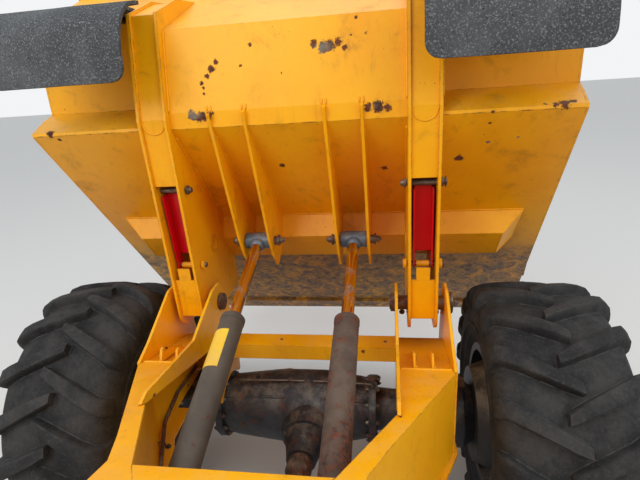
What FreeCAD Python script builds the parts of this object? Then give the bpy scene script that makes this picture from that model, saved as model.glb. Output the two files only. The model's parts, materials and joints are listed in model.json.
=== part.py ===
"""Articulated straight-tip site dumper, 9 tonne class, skip tipped forward.

Frame: X right, Y forward, Z up, ground at Z 0, origin under the middle of the machine.
Most pieces are drawn with Y measured from the front axle and Z from the ground.
The skip's own pieces are drawn in the skip frame: the skip lowered, its hinge line at 0.
"""
import FreeCAD, Part
import math
import os
import re
import Sketcher

V = FreeCAD.Vector
doc = FreeCAD.newDocument("SiteDumper")
sheet = doc.addObject("Spreadsheet::Sheet", "Sizes")

# Driving sizes: name, millimetres or degrees, what it is
SIZES = (
    ("wheelbase", 2500, "front axle to rear axle"),
    ("rear_overhang", 1080, "rear axle to the back of the counterweight"),
    ("track", 1950, "between the tyres' middles"),
    ("tyre_radius", 585, "to the lugs' tips"),
    ("tyre_width", 500, "over the lugs"),
    ("lug_height", 42, "lug above the carcass"),
    ("lug_width", 62, "lug across its own length"),
    ("lug_pairs", 18, "chevron pairs round a tyre"),
    ("rim_radius", 286, "bead seat"),
    ("rim_width", 410, "over the rim flanges"),
    ("rim_wall", 12, "rim metal"),
    ("joint_behind", 1250, "front axle to the articulation pin"),
    ("pivot_ahead", 30, "front axle to the skip hinge"),
    ("pivot_up", 1125, "ground to the skip hinge"),
    ("pivot_pin", 30, "radius of the skip hinge pins"),
    ("tip_angle", 80, "skip lowered to skip tipped"),
    ("floor_angle", 29.8, "rise of the skip floor when lowered"),
    ("floor_length", 1846, "fold to lip"),
    ("fold_back", 780, "hinge back to the floor's rear fold"),
    ("fold_up", 65, "hinge up to the floor's rear fold"),
    ("bend_high", 52, "the fold's corner to its bend's end on the rear wall's foot"),
    ("bend_low", 12, "the fold's corner to its bend's ends on the floor and the recesses"),
    ("tail_back", 1101, "hinge back to the foot of the rear wall"),
    ("tail_up", 204, "hinge up to the foot of the rear wall"),
    ("wall_back", 1238, "hinge back to the rear wall's top"),
    ("wall_up", 1041, "hinge up to the rear wall's top"),
    ("band_up", 184, "top of the wheel recess's low band"),
    ("recess_up", 258, "foot of the wheel recess's shelf"),
    ("shelf_up", 345, "where the shelf meets the rear wall"),
    ("skip_plate", 8, "skip floor, walls and sides"),
    ("skip_half", 1030, "half width at the fold"),
    ("splay", 7.7, "lean of the side walls"),
    ("lip_cheek", 45, "side wall above the lip"),
    ("rim_tube", 60, "rim tube outside the side walls"),
    ("beam_start", 630, "fold to the stiffener beam"),
    ("beam_top", 673, "fold to the beam's upper corner"),
    ("beam_low", 838, "fold to the beam's lower corner"),
    ("beam_end", 862, "fold to the beam's far foot"),
    ("beam_deep", 100, "beam corner off the floor"),
    ("beam_half", 968, "half length of the beam on the floor"),
    ("beam_cut", 105, "slope of the beam's ends"),
    ("arm_mid", 500, "middle of each arm from the centre line"),
    ("arm_wide", 118, "over an arm's side plates"),
    ("arm_plate", 12, "arm side plate"),
    ("arm_foot", 95, "radius of the arm's foot"),
    ("arm_box", 62, "arm box above the fold, off the wall"),
    ("prop_low", 185, "hinge back to the lower prop pin"),
    ("prop_low_up", 21.5, "hinge up to the lower prop pin"),
    ("prop_high", 524.5, "hinge back to the upper prop pin"),
    ("prop_high_up", 60, "hinge up to the upper prop pin"),
    ("prop_wide", 76, "over the prop channel"),
    ("prop_deep", 52, "depth of the prop channel"),
    ("prop_plate", 6, "prop channel metal"),
    ("prop_pin", 11, "radius of the prop pins"),
    ("eye_back", 211, "hinge back to the ram eye"),
    ("eye_up", 174, "hinge up to the ram eye"),
    ("ram_mid", 215, "middle of each tipping ram"),
    ("ram_base_back", 1020, "front axle back to the ram base pin"),
    ("ram_base_up", 970, "ground to the ram base pin"),
    ("ram_barrel", 45, "barrel radius"),
    ("ram_rod", 24, "rod radius"),
    ("ram_out", 453, "rod that shows, skip tipped"),
    ("eye_wide", 112, "ram eye along its pin"),
    ("eye_radius", 33, "ram eye"),
    ("rib_gap", 122, "between the two ribs at a ram eye"),
    ("rib_plate", 12, "skip rib"),
    ("fork_in", 388, "inner face of the inner fork plate"),
    ("fork_out", 600, "outer face of the outer fork plate"),
    ("fork_plate", 12, "fork plate"),
    ("fork_head", 82, "radius of the fork's head"),
    ("deck_fold", 330, "front axle back to the deck's fold"),
    ("deck_up", 1055, "ground to the deck at its fold"),
    ("deck_slope", 15.2, "rise of the deck to the rear"),
    ("rail_low", 700, "ground to the rails' underside"),
    ("rail_end", 318, "outer face of the rails at the bulkhead"),
    ("bulkhead_back", 1105, "front axle back to the bulkhead"),
    ("bulkhead_plate", 25, "bulkhead"),
    ("lug_high", 935, "underside of the upper joint lug"),
    ("lug_low", 515, "underside of the lower joint lug"),
    ("joint_lug", 30, "joint lug plate"),
    ("joint_pin", 35, "radius of the joint pins"),
    ("shaft_radius", 38, "propeller shaft"),
    ("casing_radius", 165, "axle's middle casing"),
    ("casing_left", 400, "casing to the left of the centre line"),
    ("casing_right", 270, "casing to the right of the centre line"),
    ("hub_face", 715, "wheel mounting face from the centre line"),
    ("spindle", 45, "radius of the wheels' spindles"),
    ("spindle_long", 60, "spindle outside the wheel mounting face"),
    ("rear_rail_in", 240, "inner face of the rear rails"),
    ("rear_rail_wide", 90, "rear rail"),
    ("rear_rail_low", 700, "underside of the rear rails"),
    ("rear_rail_deep", 140, "depth of the rear rails"),
    ("rear_frame_start", 1470, "front axle back to the rear frame"),
    ("platform_half", 640, "half width of the driver's platform"),
    ("platform_plate", 6, "chequer plate"),
    ("platform_end", 2335, "front axle back to the platform's end"),
    ("seat_back", 2080, "front axle back to the backrest"),
    ("seat_up", 1240, "top of the seat cushion"),
    ("wheel_back", 1600, "front axle back to the steering wheel"),
    ("wheel_up", 1560, "steering wheel's middle"),
    ("wheel_radius", 190, "steering wheel"),
    ("wheel_lean", 28, "lean of the steering column"),
    ("hood_start", 2370, "front axle back to the hood"),
    ("hood_end", 3400, "front axle back to the hood's rear face"),
    ("hood_half", 500, "half width of the hood"),
    ("hood_low", 980, "lower edge of the hood"),
    ("hood_high", 1560, "top of the hood"),
    ("hood_plate", 5, "hood sheet"),
    ("bar_half", 470, "roll bar tube's middle from the centre line"),
    ("bar_back", 2290, "front axle back to the roll bar"),
    ("bar_fold", 1800, "ground to the roll bar's fold"),
    ("bar_top", 2960, "ground to the roll bar's top"),
    ("bar_tube", 35, "half of the roll bar's square tube"),
    ("guard_plate", 6, "mudguard sheet"),
    ("guard_gap", 75, "tyre to mudguard"),
    ("tow_pin", 20, "radius of the tow hole"),
    ("flap_thick", 12, "rubber flap"),
    ("flap_in", 485, "inner edge of the flaps"),
    ("flap_out", 1010, "outer edge of the flaps"),
    ("steer_anchor_out", 175, "steering ram's rear pin from the centre line"),
    ("steer_anchor_back", 1640, "front axle back to the steering ram's rear pin"),
    ("steer_eye_out", 300, "steering ram's eye from the centre line"),
    ("steer_eye_back", 1010, "front axle back to the steering ram's eye"),
    ("steer_up", 640, "ground to the steering ram"),
    ("steer_barrel", 32, "steering ram's barrel radius"),
    ("steer_rod", 18, "steering ram's rod radius"),
    ("steer_pin", 18, "radius of the steering ram's pins"),
    ("steer_gland", 400, "steering ram's rear pin to its gland"),
    ("steer_rod_long", 440, "steering ram's rod, piston face to eye"),
    ("pin_gap", 0.05, "hole less pin, on the radius"),
)
NAMES = set()
for row, (name, number, note) in enumerate(SIZES, 1):
    sheet.set("A%d" % row, name.replace("_", " "))
    sheet.set("B%d" % row, str(number))
    sheet.setAlias("B%d" % row, name)
    sheet.set("C%d" % row, note)
    NAMES.add(name)
doc.recompute()

WORD = re.compile(r"[A-Za-z_]+")


def bound(text):
    """The text with each size's name as a reference to its cell."""
    return WORD.sub(lambda m: "Sizes." + m.group(0) if m.group(0) in NAMES else m.group(0),
                    str(text))


def value(text):
    """What a text of sizes comes to, as a plain number."""
    out = sheet.evalExpression(bound(text))
    return float(getattr(out, "Value", out))


def tie(obj, prop, text):
    """Ties a property to a text of sizes."""
    obj.setExpression(prop, bound(text))


def put(obj, x=0, y=0, z=0):
    """Places an object at a point given by texts of sizes."""
    for prop, text in (("x", x), ("y", y), ("z", z)):
        tie(obj, "Placement.Base." + prop, text)
    return obj


def turn(obj, axis, angle):
    """Turns an object about its own origin by an angle given by a text of sizes."""
    obj.Placement = FreeCAD.Placement(obj.Placement.Base, FreeCAD.Rotation(V(*axis), value(angle)))
    tie(obj, "Placement.Rotation.Angle", angle)
    return obj


def block(name, x, y, z, long, wide, high):
    """A box between x and x+long, y and y+wide, z and z+high."""
    box = doc.addObject("Part::Box", name)
    tie(box, "Length", long)
    tie(box, "Width", wide)
    tie(box, "Height", high)
    return put(box, x, y, z)


def rod(name, axis, x, y, z, radius, long):
    """A round bar that starts at a point and runs along X, Y or Z."""
    bar = doc.addObject("Part::Cylinder", name)
    tie(bar, "Radius", radius)
    tie(bar, "Height", long)
    turns = {"X": (V(0, 1, 0), 90), "Y": (V(-1, 0, 0), 90), "Z": (V(0, 0, 1), 0)}[axis]
    bar.Placement = FreeCAD.Placement(V(), FreeCAD.Rotation(*turns))
    return put(bar, x, y, z)


def draw(sketch, corners, circles=()):
    """Draws a closed outline and round holes, each point and radius tied to its text.

    A corner is (u, v) or (u, v, radius); a circle is (u, v, radius).
    """
    points = [(value(c[0]), value(c[1])) for c in corners]
    radii = [value(c[2]) if len(c) > 2 else 0.0 for c in corners]
    count = len(points)
    arrive, leave, arcs = [], [], {}
    for i, (u, v) in enumerate(points):
        here = V(u, v, 0)
        back = V(*points[i - 1], 0) - here
        ahead = V(*points[(i + 1) % count], 0) - here
        if radii[i] <= 0:
            arrive.append(here)
            leave.append(here)
            continue
        back.normalize()
        ahead.normalize()
        half = back.getAngle(ahead) / 2
        reach = radii[i] / math.tan(half)
        arrive.append(here + back * reach)
        leave.append(here + ahead * reach)
        middle = here + (back + ahead).normalize() * (radii[i] / math.sin(half))
        arcs[i] = (middle, back.cross(ahead).z < 0)
    for i in range(count):
        sketch.addGeometry(Part.LineSegment(leave[i], arrive[(i + 1) % count]), False)
    for i, (u, v) in enumerate(points):
        before = (i - 1) % count
        if i in arcs:
            middle, left = arcs[i]
            first, last = (arrive[i], leave[i]) if left else (leave[i], arrive[i])
            start = math.atan2(first.y - middle.y, first.x - middle.x)
            end = math.atan2(last.y - middle.y, last.x - middle.x)
            circle = Part.Circle(middle, V(0, 0, 1), radii[i])
            arc = sketch.addGeometry(Part.ArcOfCircle(circle, start, end), False)
            corner = sketch.addGeometry(Part.Point(V(u, v, 0)), True)
            near, far = (1, 2) if left else (2, 1)
            sketch.addConstraint(Sketcher.Constraint("Tangent", before, 2, arc, near))
            sketch.addConstraint(Sketcher.Constraint("Tangent", arc, far, i, 1))
            sketch.addConstraint(Sketcher.Constraint("PointOnObject", corner, 1, before))
            sketch.addConstraint(Sketcher.Constraint("PointOnObject", corner, 1, i))
            bend = sketch.addConstraint(Sketcher.Constraint("Radius", arc, radii[i]))
            sketch.renameConstraint(bend, "bend%d" % i)
            tie(sketch, "Constraints.bend%d" % i, corners[i][2])
            spot = (corner, 1)
        else:
            sketch.addConstraint(Sketcher.Constraint("Coincident", before, 2, i, 1))
            spot = (i, 1)
        pin(sketch, spot, "p%d" % i, corners[i])
    for i, (u, v, radius) in enumerate(circles):
        middle = V(value(u), value(v), 0)
        ring = sketch.addGeometry(Part.Circle(middle, V(0, 0, 1), value(radius)), False)
        pin(sketch, (ring, 3), "c%d" % i, (u, v))
        size = sketch.addConstraint(Sketcher.Constraint("Radius", ring, value(radius)))
        sketch.renameConstraint(size, "c%dr" % i)
        tie(sketch, "Constraints.c%dr" % i, radius)


def pin(sketch, spot, name, point):
    """Holds one point of a sketch at two texts of sizes."""
    for kind, text in (("DistanceX", point[0]), ("DistanceY", point[1])):
        made = sketch.addConstraint(Sketcher.Constraint(kind, -1, 1, *spot, value(text)))
        sketch.renameConstraint(made, name + kind[-1])
        tie(sketch, "Constraints." + name + kind[-1], text)


# Which way a sketch lies for a plate that is thick along X, Y or Z
LIE = {"X": FreeCAD.Rotation(V(1, 1, 1), 120), "Y": FreeCAD.Rotation(V(1, 0, 0), 90),
       "Z": FreeCAD.Rotation()}
THICK = {"X": V(1, 0, 0), "Y": V(0, 1, 0), "Z": V(0, 0, 1)}


def plate(name, axis, at, thick, corners, circles=()):
    """A flat plate, thick along an axis from 'at', with its outline across it.

    The outline is (Y, Z) for X, (X, Z) for Y and (X, Y) for Z.
    """
    sketch = doc.addObject("Sketcher::SketchObject", name + "_outline")
    sketch.Placement = FreeCAD.Placement(V(), LIE[axis])
    tie(sketch, "Placement.Base." + axis.lower(), at)
    draw(sketch, corners, circles)
    solid = doc.addObject("Part::Extrusion", name)
    solid.Base = sketch
    solid.DirMode = "Custom"
    solid.Dir = THICK[axis]
    solid.Solid = True
    tie(solid, "LengthFwd", thick)
    return solid


def strip(name, low, high, thick, x, wide):
    """A flat bar across the machine, its outer face from point low to point high (Y, Z).

    Its thickness lies to the left of the way from low to high.
    """
    run = ("(%s) - (%s)" % (high[0], low[0]), "(%s) - (%s)" % (high[1], low[1]))
    bar = doc.addObject("Part::Box", name)
    tie(bar, "Length", wide)
    tie(bar, "Width", "hypot(%s; %s)" % run)
    tie(bar, "Height", thick)
    turn(bar, (1, 0, 0), "atan2(%s; %s)" % (run[1], run[0]))
    return put(bar, x, low[0], low[1])


def revolve(name, axis, corners):
    """A solid turned about an axis through 0: outline in (along the axis, radius)."""
    sketch = doc.addObject("Sketcher::SketchObject", name + "_section")
    draw(sketch, corners)
    solid = doc.addObject("Part::Revolution", name)
    solid.Source = sketch
    solid.Axis = V(1, 0, 0)
    solid.Angle = 360
    solid.Solid = True
    if axis == "Y":
        solid.Placement = FreeCAD.Placement(V(), FreeCAD.Rotation(V(0, 0, 1), 90))
    if axis == "Z":
        solid.Placement = FreeCAD.Placement(V(), FreeCAD.Rotation(V(0, 1, 0), -90))
    return solid


def fuse(name, parts):
    out = doc.addObject("Part::MultiFuse", name)
    out.Shapes = parts
    out.Refine = True
    return out


def cut(name, base, tools):
    """Base less the tools."""
    for i, tool in enumerate(tools):
        out = doc.addObject("Part::Cut", name if i == len(tools) - 1 else name + "_step%d" % i)
        out.Base = base
        out.Tool = tool
        base = out
    return base


def common(name, base, tool):
    out = doc.addObject("Part::Common", name)
    out.Base = base
    out.Tool = tool
    return out


def mirror(name, source):
    """The same piece on the other side of the centre line."""
    out = doc.addObject("Part::Mirroring", name)
    out.Source = source
    out.Normal = V(1, 0, 0)
    return out


def group(name, parts):
    """Like pieces of one body that share a node and don't touch."""
    out = doc.addObject("Part::Compound", name)
    out.Links = parts
    return out


def both(name, right):
    """A right-hand piece and its left-hand mirror, as one node."""
    return group(name, [right, mirror(name + "_left", right)])


# The lip's reach ahead of the front axle with the skip tipped, and the origin's place
LIP = ("-fold_back + floor_length * cos(floor_angle)", "fold_up + floor_length * sin(floor_angle)")
LIP_REACH = ("pivot_ahead + (%s) * cos(tip_angle) + (%s + lip_cheek) * sin(tip_angle)" % LIP)
AXLE_Y = "(wheelbase + rear_overhang - (%s)) / 2" % LIP_REACH
NODES = []


def node(label, obj, up="0"):
    """Sets a finished piece of the front or rear half in the row's frame, under its name."""
    obj.Label = "drawn_" + label
    out = group("row_" + label, [obj])
    out.Label = label
    put(out, 0, AXLE_Y, up)
    NODES.append(out)


def skip_node(label, obj):
    """Tips a finished piece of the skip about the hinge, under its name."""
    obj.Label = "drawn_" + label
    out = group("row_" + label, [obj])
    out.Label = label
    turn(out, (-1, 0, 0), "tip_angle")
    put(out, 0, "pivot_ahead + " + AXLE_Y, "pivot_up")
    NODES.append(out)


# Front half: fork plates, rails, deck

FORK_SIDE = (("-deck_fold - 345", "deck_up + 100"), ("-deck_fold - 320", "deck_up + 84"),
             ("-150", "rail_low + 290"), ("-125", "rail_low - 15"), ("140", "rail_low - 15"),
             ("165", "rail_low + 150", 60), ("pivot_ahead + fork_head", "pivot_up", 40),
             ("pivot_ahead + 40", "pivot_up + fork_head", 50),
             ("pivot_ahead - 60", "pivot_up + fork_head", 55), ("-deck_fold + 60", "deck_up + 62"),
             ("-deck_fold - 300", "deck_up + 112"))
OUTER_SIDE = (("-deck_fold - 20", "deck_up + 7"), ("-deck_fold - 20", "rail_low"),
              ("-170", "rail_low"), ("-170", "rail_low - 15"), ("140", "rail_low - 15"),
              ("165", "rail_low + 150", 60), ("pivot_ahead + fork_head", "pivot_up", 40),
              ("pivot_ahead + 40", "pivot_up + fork_head", 50),
              ("pivot_ahead - 60", "pivot_up + fork_head", 55), ("-deck_fold + 70", "deck_up + 40"))
HINGE_HOLE = (("pivot_ahead", "pivot_up", "pivot_pin"),)
RAIL_PLAN = (("fork_in + fork_plate", "-deck_fold"), ("fork_out", "-deck_fold"),
             ("fork_out - 12", "-deck_fold - 34"), ("363", "-838"), ("rail_end", "-945"),
             ("rail_end", "-bulkhead_back"), ("150", "-bulkhead_back"), ("246", "-958"),
             ("fork_in - 2", "-deck_fold - 330"), ("fork_in + fork_plate", "-deck_fold - 345"))
WEB_PLAN = (("fork_out", "-deck_fold + 30"), ("fork_out", "-deck_fold"),
            ("fork_out - 12", "-deck_fold - 34"), ("363", "-838"), ("rail_end", "-945"),
            ("rail_end", "-bulkhead_back"), ("rail_end - 12", "-bulkhead_back"),
            ("rail_end - 12", "-942"), ("351", "-836"), ("fork_out - 24", "-deck_fold - 34"),
            ("fork_out - 12", "-deck_fold"), ("fork_out - 12", "-deck_fold + 30"))


def front_side():
    """One side of the front frame: two fork plates and the open rail that they run into."""
    inner = plate("fork_inner", "X", "fork_in", "fork_plate", FORK_SIDE, HINGE_HOLE)
    outer = plate("fork_outer", "X", "fork_out - fork_plate", "fork_plate", OUTER_SIDE, HINGE_HOLE)
    spaces = []
    for name, off in (("above_deck", "0"), ("below_deck", "600 + fork_plate")):
        space = block(name, 0, 0, 0, "800", "1500", "600")
        turn(space, (-1, 0, 0), "deck_slope")
        spaces.append(put(space, 0, "-deck_fold - 1200 * cos(deck_slope) - (%s) * sin(deck_slope)" % off,
                          "deck_up + 1200 * sin(deck_slope) - (%s) * cos(deck_slope)" % off))
    rail = cut("rail_top", plate("rail_deck", "Z", "rail_low", "deck_up - rail_low + 400", RAIL_PLAN),
               spaces)
    web = cut("rail_web", plate("rail_web_tall", "Z", "rail_low - 12", "deck_up - rail_low + 412",
                                WEB_PLAN), spaces[:1])
    toe = strip("fork_toe", ("60", "deck_up - 125"), ("-deck_fold", "deck_up - 10"), "10",
                "fork_in + fork_plate", "fork_out - fork_in - 2 * fork_plate")
    front = block("fork_front", "fork_in + fork_plate", "118", "rail_low - 15",
                  "fork_out - fork_in - 2 * fork_plate", "12", "200")
    ribs = [plate("toe_rib%d" % i, "X", x, "8",
                  (("-deck_fold + 10", "deck_up - 16"), ("-deck_fold + 150", "deck_up - 64"),
                   ("-deck_fold + 150", "deck_up - 40"), ("-deck_fold + 20", "deck_up - 1")))
            for i, x in enumerate(("fork_in + 70", "fork_in + 135"))]
    flange = plate("rail_flange", "Z", "rail_low - 12", "12",
                   (("fork_out - 75", "-deck_fold + 150"), ("fork_out", "-deck_fold + 150"),
                    ("fork_out + 14", "-deck_fold - 20"), ("388", "-838"), ("rail_end + 20", "-945"),
                    ("rail_end + 20", "-bulkhead_back"), ("rail_end - 65", "-bulkhead_back"),
                    ("rail_end - 65", "-935"), ("305", "-825"), ("fork_out - 82", "-deck_fold - 20")))
    return fuse("front_side_whole", [inner, outer, rail, web, toe, front, flange] + ribs)


axle_space = rod("axle_space", "X", "-casing_left - 35", 0, "tyre_radius", "casing_radius - 9",
                 "2 * casing_left + 70")
side_right = cut("front_side", front_side(), [axle_space])
side_left = mirror("front_side_left", side_right)
node("front_side_frames", group("front_sides", [side_right, side_left]))


def front_cross():
    """What joins the two sides: the front angle, the bulkhead, the deck bridge and the lugs."""
    angle_top = block("angle_top", "-fork_in", "-40", "933", "2 * fork_in", "95", "8")
    angle_web = block("angle_web", "-fork_in", "-40", "873", "2 * fork_in", "8", "60")
    bridge = plate("bridge", "Z", "0", "12",
                   (("-246", "-8"), ("246", "-8"), ("172", "-148 / cos(deck_slope)"),
                    ("-172", "-148 / cos(deck_slope)")))
    turn(bridge, (-1, 0, 0), "deck_slope")
    put(bridge, 0, "-950", "deck_up - 12 / cos(deck_slope) + (950 - deck_fold) * tan(deck_slope)")
    bulkhead = plate("bulkhead", "Y", "-bulkhead_back - bulkhead_plate", "bulkhead_plate",
                     (("-rail_end", "rail_low - 12"), ("-165", "rail_low - 12"), ("-150", "lug_low"),
                      ("150", "lug_low"), ("165", "rail_low - 12"), ("rail_end", "rail_low - 12"),
                      ("rail_end", "1240"), ("-rail_end", "1240")),
                     (("0", "720", "105"),))
    lugs = []
    for i, up in enumerate(("lug_low", "lug_high")):
        lugs.append(plate("joint_lug%d" % i, "Z", up, "joint_lug",
                          (("-150", "-bulkhead_back - bulkhead_plate"), ("-95", "-joint_behind", 60),
                           ("-95", "-joint_behind - 80", 70), ("95", "-joint_behind - 80", 70),
                           ("95", "-joint_behind", 60), ("150", "-bulkhead_back - bulkhead_plate")),
                          (("0", "-joint_behind", "joint_pin"),)))
    brackets = []
    for i, x in enumerate(("ram_mid - 62 - 14", "ram_mid + 62", "-ram_mid - 62 - 14", "-ram_mid + 62")):
        brackets.append(plate("ram_bracket%d" % i, "X", x, "14",
                              (("-bulkhead_back", "880"), ("-bulkhead_back", "1060"),
                               ("-ram_base_back + 45", "1060", 30), ("-ram_base_back + 60", "930", 40),
                               ("-ram_base_back - 20", "880")),
                              (("-ram_base_back", "ram_base_up", "25"),)))
    eye_lugs = []
    for up, thick in (("steer_up - 42", "12"), ("steer_up + 30", "rail_low - 42 - steer_up")):
        eye_lugs.append(block("eye_lug%d" % len(eye_lugs), "steer_eye_out - 38",
                              "-steer_eye_back - 35", up, "76", "105", thick))
    eye_web = block("eye_web", "steer_eye_out - 38", "-steer_eye_back + 55", "steer_up - 42", "76", "15",
                    "rail_low + 30 - steer_up")
    return fuse("front_cross_body", [angle_top, angle_web, bridge, bulkhead, eye_web] + lugs + brackets
                + eye_lugs)


node("front_cross_members", cut("front_cross", front_cross(), [side_right, side_left]))


def hinge_pins():
    """The right-hand skip hinge pin with its head and nut, and the ram's base pin."""
    shank = rod("hinge_shank", "X", "fork_in - 22", "pivot_ahead", "pivot_up", "pivot_pin",
                "fork_out - fork_in + 44")
    head = rod("hinge_head", "X", "fork_out", "pivot_ahead", "pivot_up", "42", "14")
    nut = rod("hinge_nut", "X", "fork_in - 18", "pivot_ahead", "pivot_up", "38", "18")
    hinge = fuse("hinge_pin", [shank, head, nut])
    base = rod("ram_base_pin", "X", "ram_mid - 84", "-ram_base_back", "ram_base_up", "25", "168")
    return group("pins_right", [hinge, base])


pins_right = hinge_pins()
node("hinge_pins", group("pins_both", [pins_right, mirror("pins_left", pins_right)]))


def casing(name):
    """A drive axle: cast middle casing with bolted flanges, tapered arms, hub ends."""
    arm_end = "hub_face - 110"
    body = revolve(name + "_body", "X", (
        ("-hub_face - spindle_long", "0"), ("-hub_face - spindle_long", "spindle"),
        ("-hub_face + 2", "spindle"), ("-hub_face + 2", "120"), ("-hub_face + 45", "150"),
        ("-(%s)" % arm_end, "150"), ("-(%s)" % arm_end, "72"), ("-casing_left - 30", "95"),
        ("-casing_left - 30", "150"), ("-casing_left", "150"), ("-casing_left", "128"),
        ("-casing_left + 60", "140"), ("-90", "casing_radius", 60), ("60", "casing_radius", 60),
        ("casing_right - 60", "140"), ("casing_right", "128"), ("casing_right", "150"),
        ("casing_right + 30", "150"), ("casing_right + 30", "95"), (arm_end, "72"),
        (arm_end, "150"), ("hub_face - 45", "150"), ("hub_face - 2", "120"),
        ("hub_face - 2", "spindle"), ("hub_face + spindle_long", "spindle"),
        ("hub_face + spindle_long", "0")))
    return body


def front_axle():
    """The front axle: casing, pinion nose toward the joint, and the seats under the frame."""
    body = casing("front_casing")
    nose = revolve("front_nose", "Y", (("-330", "0"), ("-330", "62"), ("-290", "70"),
                                       ("-150", "110"), ("0", "110"), ("0", "0")))
    seat = block("front_seat", "fork_in", "-110", "40", "fork_out - fork_in", "220",
                 "rail_low - 15 - tyre_radius - 40")
    whole = fuse("front_axle", [body, nose, seat, mirror("front_seat_left", seat)])
    return whole


node("front_axle", front_axle(), "tyre_radius")


def shaft(name, start, end, start_up, end_up):
    """A propeller shaft between two joints, with a yoke at each end (Y back to front)."""
    run = ("(%s) - (%s)" % (end, start), "(%s) - (%s)" % (end_up, start_up))
    long = "hypot(%s; %s)" % run
    turned = revolve(name + "_turned", "Y", (
        ("0", "0"), ("0", "52"), ("55", "52"), ("80", "shaft_radius"),
        ("(%s) - 80" % long, "shaft_radius"), ("(%s) - 55" % long, "52"), (long, "52"), (long, "0")))
    held = group(name + "_held", [turned])
    turn(held, (1, 0, 0), "atan2(%s; %s)" % (run[1], run[0]))
    put(held, 0, start, start_up)
    return held


front_shaft = shaft("front_shaft", "-joint_behind + 70", "-330 - 9", "720", "tyre_radius")
cross = rod("joint_cross", "Z", 0, "-joint_behind", "720 - 45", "30", "90")
yoke = block("joint_yoke", "-34", "-joint_behind + 25", "720 - 30", "68", "60", "60")
node("front_propshaft", fuse("front_propshaft_whole", [front_shaft, cross, yoke]))


# The skip, drawn lowered with its hinge line at 0

FOLD = ("-fold_back", "fold_up")
TAIL = ("-tail_back", "tail_up")
TOP = ("-wall_back", "wall_up")
BAND = ("-fold_back - 20", "band_up")
RECESS = ("-fold_back - 26", "recess_up")
SHELF = ("-tail_back - (wall_back - tail_back) * (shelf_up - tail_up) / (wall_up - tail_up)",
         "shelf_up")


def bend_end(other, reach):
    """Where the fold's bend ends on the way to another corner."""
    y, z = "((%s) - (%s))" % (other[0], FOLD[0]), "((%s) - (%s))" % (other[1], FOLD[1])
    return tuple("%s + %s * %s / hypot(%s; %s)" % (from_, reach, step, y, z)
                 for from_, step in zip(FOLD, (y, z)))


BEND_FLOOR, BEND_BAND = bend_end(LIP, "bend_low"), bend_end(BAND, "bend_low")
BEND_FOOT = bend_end(TAIL, "bend_high")


def off_floor(along, deep):
    """A point on or below the skip's floor: along it from the fold, and off its underside."""
    return ("-fold_back + (%s) * cos(floor_angle) + (%s) * sin(floor_angle)" % (along, deep),
            "fold_up + (%s) * sin(floor_angle) - (%s) * cos(floor_angle)" % (along, deep))


def skip_prism(name, wall):
    """The space between the leaning side walls, out to 'wall' inside their outer faces."""
    low, high = "-300", "1300"
    half = "skip_half - (%s) / cos(splay) + ((%s) - fold_up) * tan(splay)"
    return plate(name, "Y", "-1500", "3000",
                 (("-(%s)" % (half % (wall, low)), low), (half % (wall, low), low),
                  (half % (wall, high), high), ("-(%s)" % (half % (wall, high)), high)))


within = skip_prism("between_sides", "skip_plate")
floor = common("floor", strip("floor_flat", BEND_FLOOR, LIP, "skip_plate", "-1300", "2600"), within)
skip_node("skip_floor", floor)


def skip_wing():
    """The right-hand wheel recess: band, step and shelf, and the cheek of the middle pocket."""
    start, wide = "arm_mid + arm_wide / 2 + 1", "800"
    bars = [strip("recess_band", BAND, BEND_BAND, "skip_plate", start, wide),
            strip("recess_bend", BEND_BAND, BEND_FLOOR, "skip_plate", start, wide),
            strip("recess_step", RECESS, BAND, "skip_plate", start, wide),
            strip("recess_shelf", SHELF, RECESS, "skip_plate", start, wide)]
    panels = common("recess_panels", fuse("recess_bars", bars), within)
    cheek = plate("pocket_cheek", "X", "arm_mid + arm_wide / 2 - 7", "skip_plate",
                  (BEND_FOOT, BEND_FLOOR, BEND_BAND, BAND, RECESS, SHELF, TAIL))
    return cut("wing", fuse("wing_whole", [panels, cheek]), [floor])


wing = skip_wing()
wing_left = mirror("wing_left", wing)
skip_node("skip_wheel_recesses", group("wings", [wing, wing_left]))


def rear_wall():
    """The rear wall with its sloping foot between the arms, open over the wheel recesses."""
    wall = common("wall_flat", strip("wall_strip", TOP, TAIL, "skip_plate", "-1300", "2600"), within)
    foot = [strip("wall_foot%d" % i, low, high, "skip_plate", "-arm_mid - arm_wide / 2 + 7",
                  "2 * arm_mid + arm_wide - 14")
            for i, (low, high) in enumerate(((TAIL, BEND_FOOT), (BEND_FOOT, BEND_FLOOR)))]
    openings = []
    for name, x in (("right", "arm_mid + arm_wide / 2 - 7"), ("left", "-arm_mid - arm_wide / 2 + 7 - 900")):
        openings.append(block("recess_gap_" + name, x, "-wall_back - 50", "0", "900", "wall_back / 2",
                              "shelf_up"))
    low_wall = cut("wall_low", wall, openings)
    return cut("rear_wall", fuse("rear_wall_whole", [low_wall] + foot), [floor, wing, wing_left])


wall = rear_wall()
skip_node("skip_rear_wall", wall)


def skip_side():
    """The right-hand side wall: the skip's own outline cut from a leaning plate."""
    slab = block("side_slab", 0, 0, 0, "skip_plate", "2800", "1700")
    turn(slab, (0, 1, 0), "splay")
    put(slab, "skip_half - skip_plate / cos(splay) - 250 * tan(splay)", "-1400", "fold_up - 250")
    cheek_top = (LIP[0], "%s + lip_cheek" % LIP[1])
    outline = plate("side_outline", "X", "skip_half - 200", "500",
                    (BEND_FLOOR, LIP, cheek_top, TOP, SHELF, RECESS, BAND, BEND_BAND))
    return common("side_right", outline, slab)


side = skip_side()
side_other = mirror("side_left", side)
skip_node("skip_sides", group("skip_sides_both", [side, side_other]))


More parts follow.
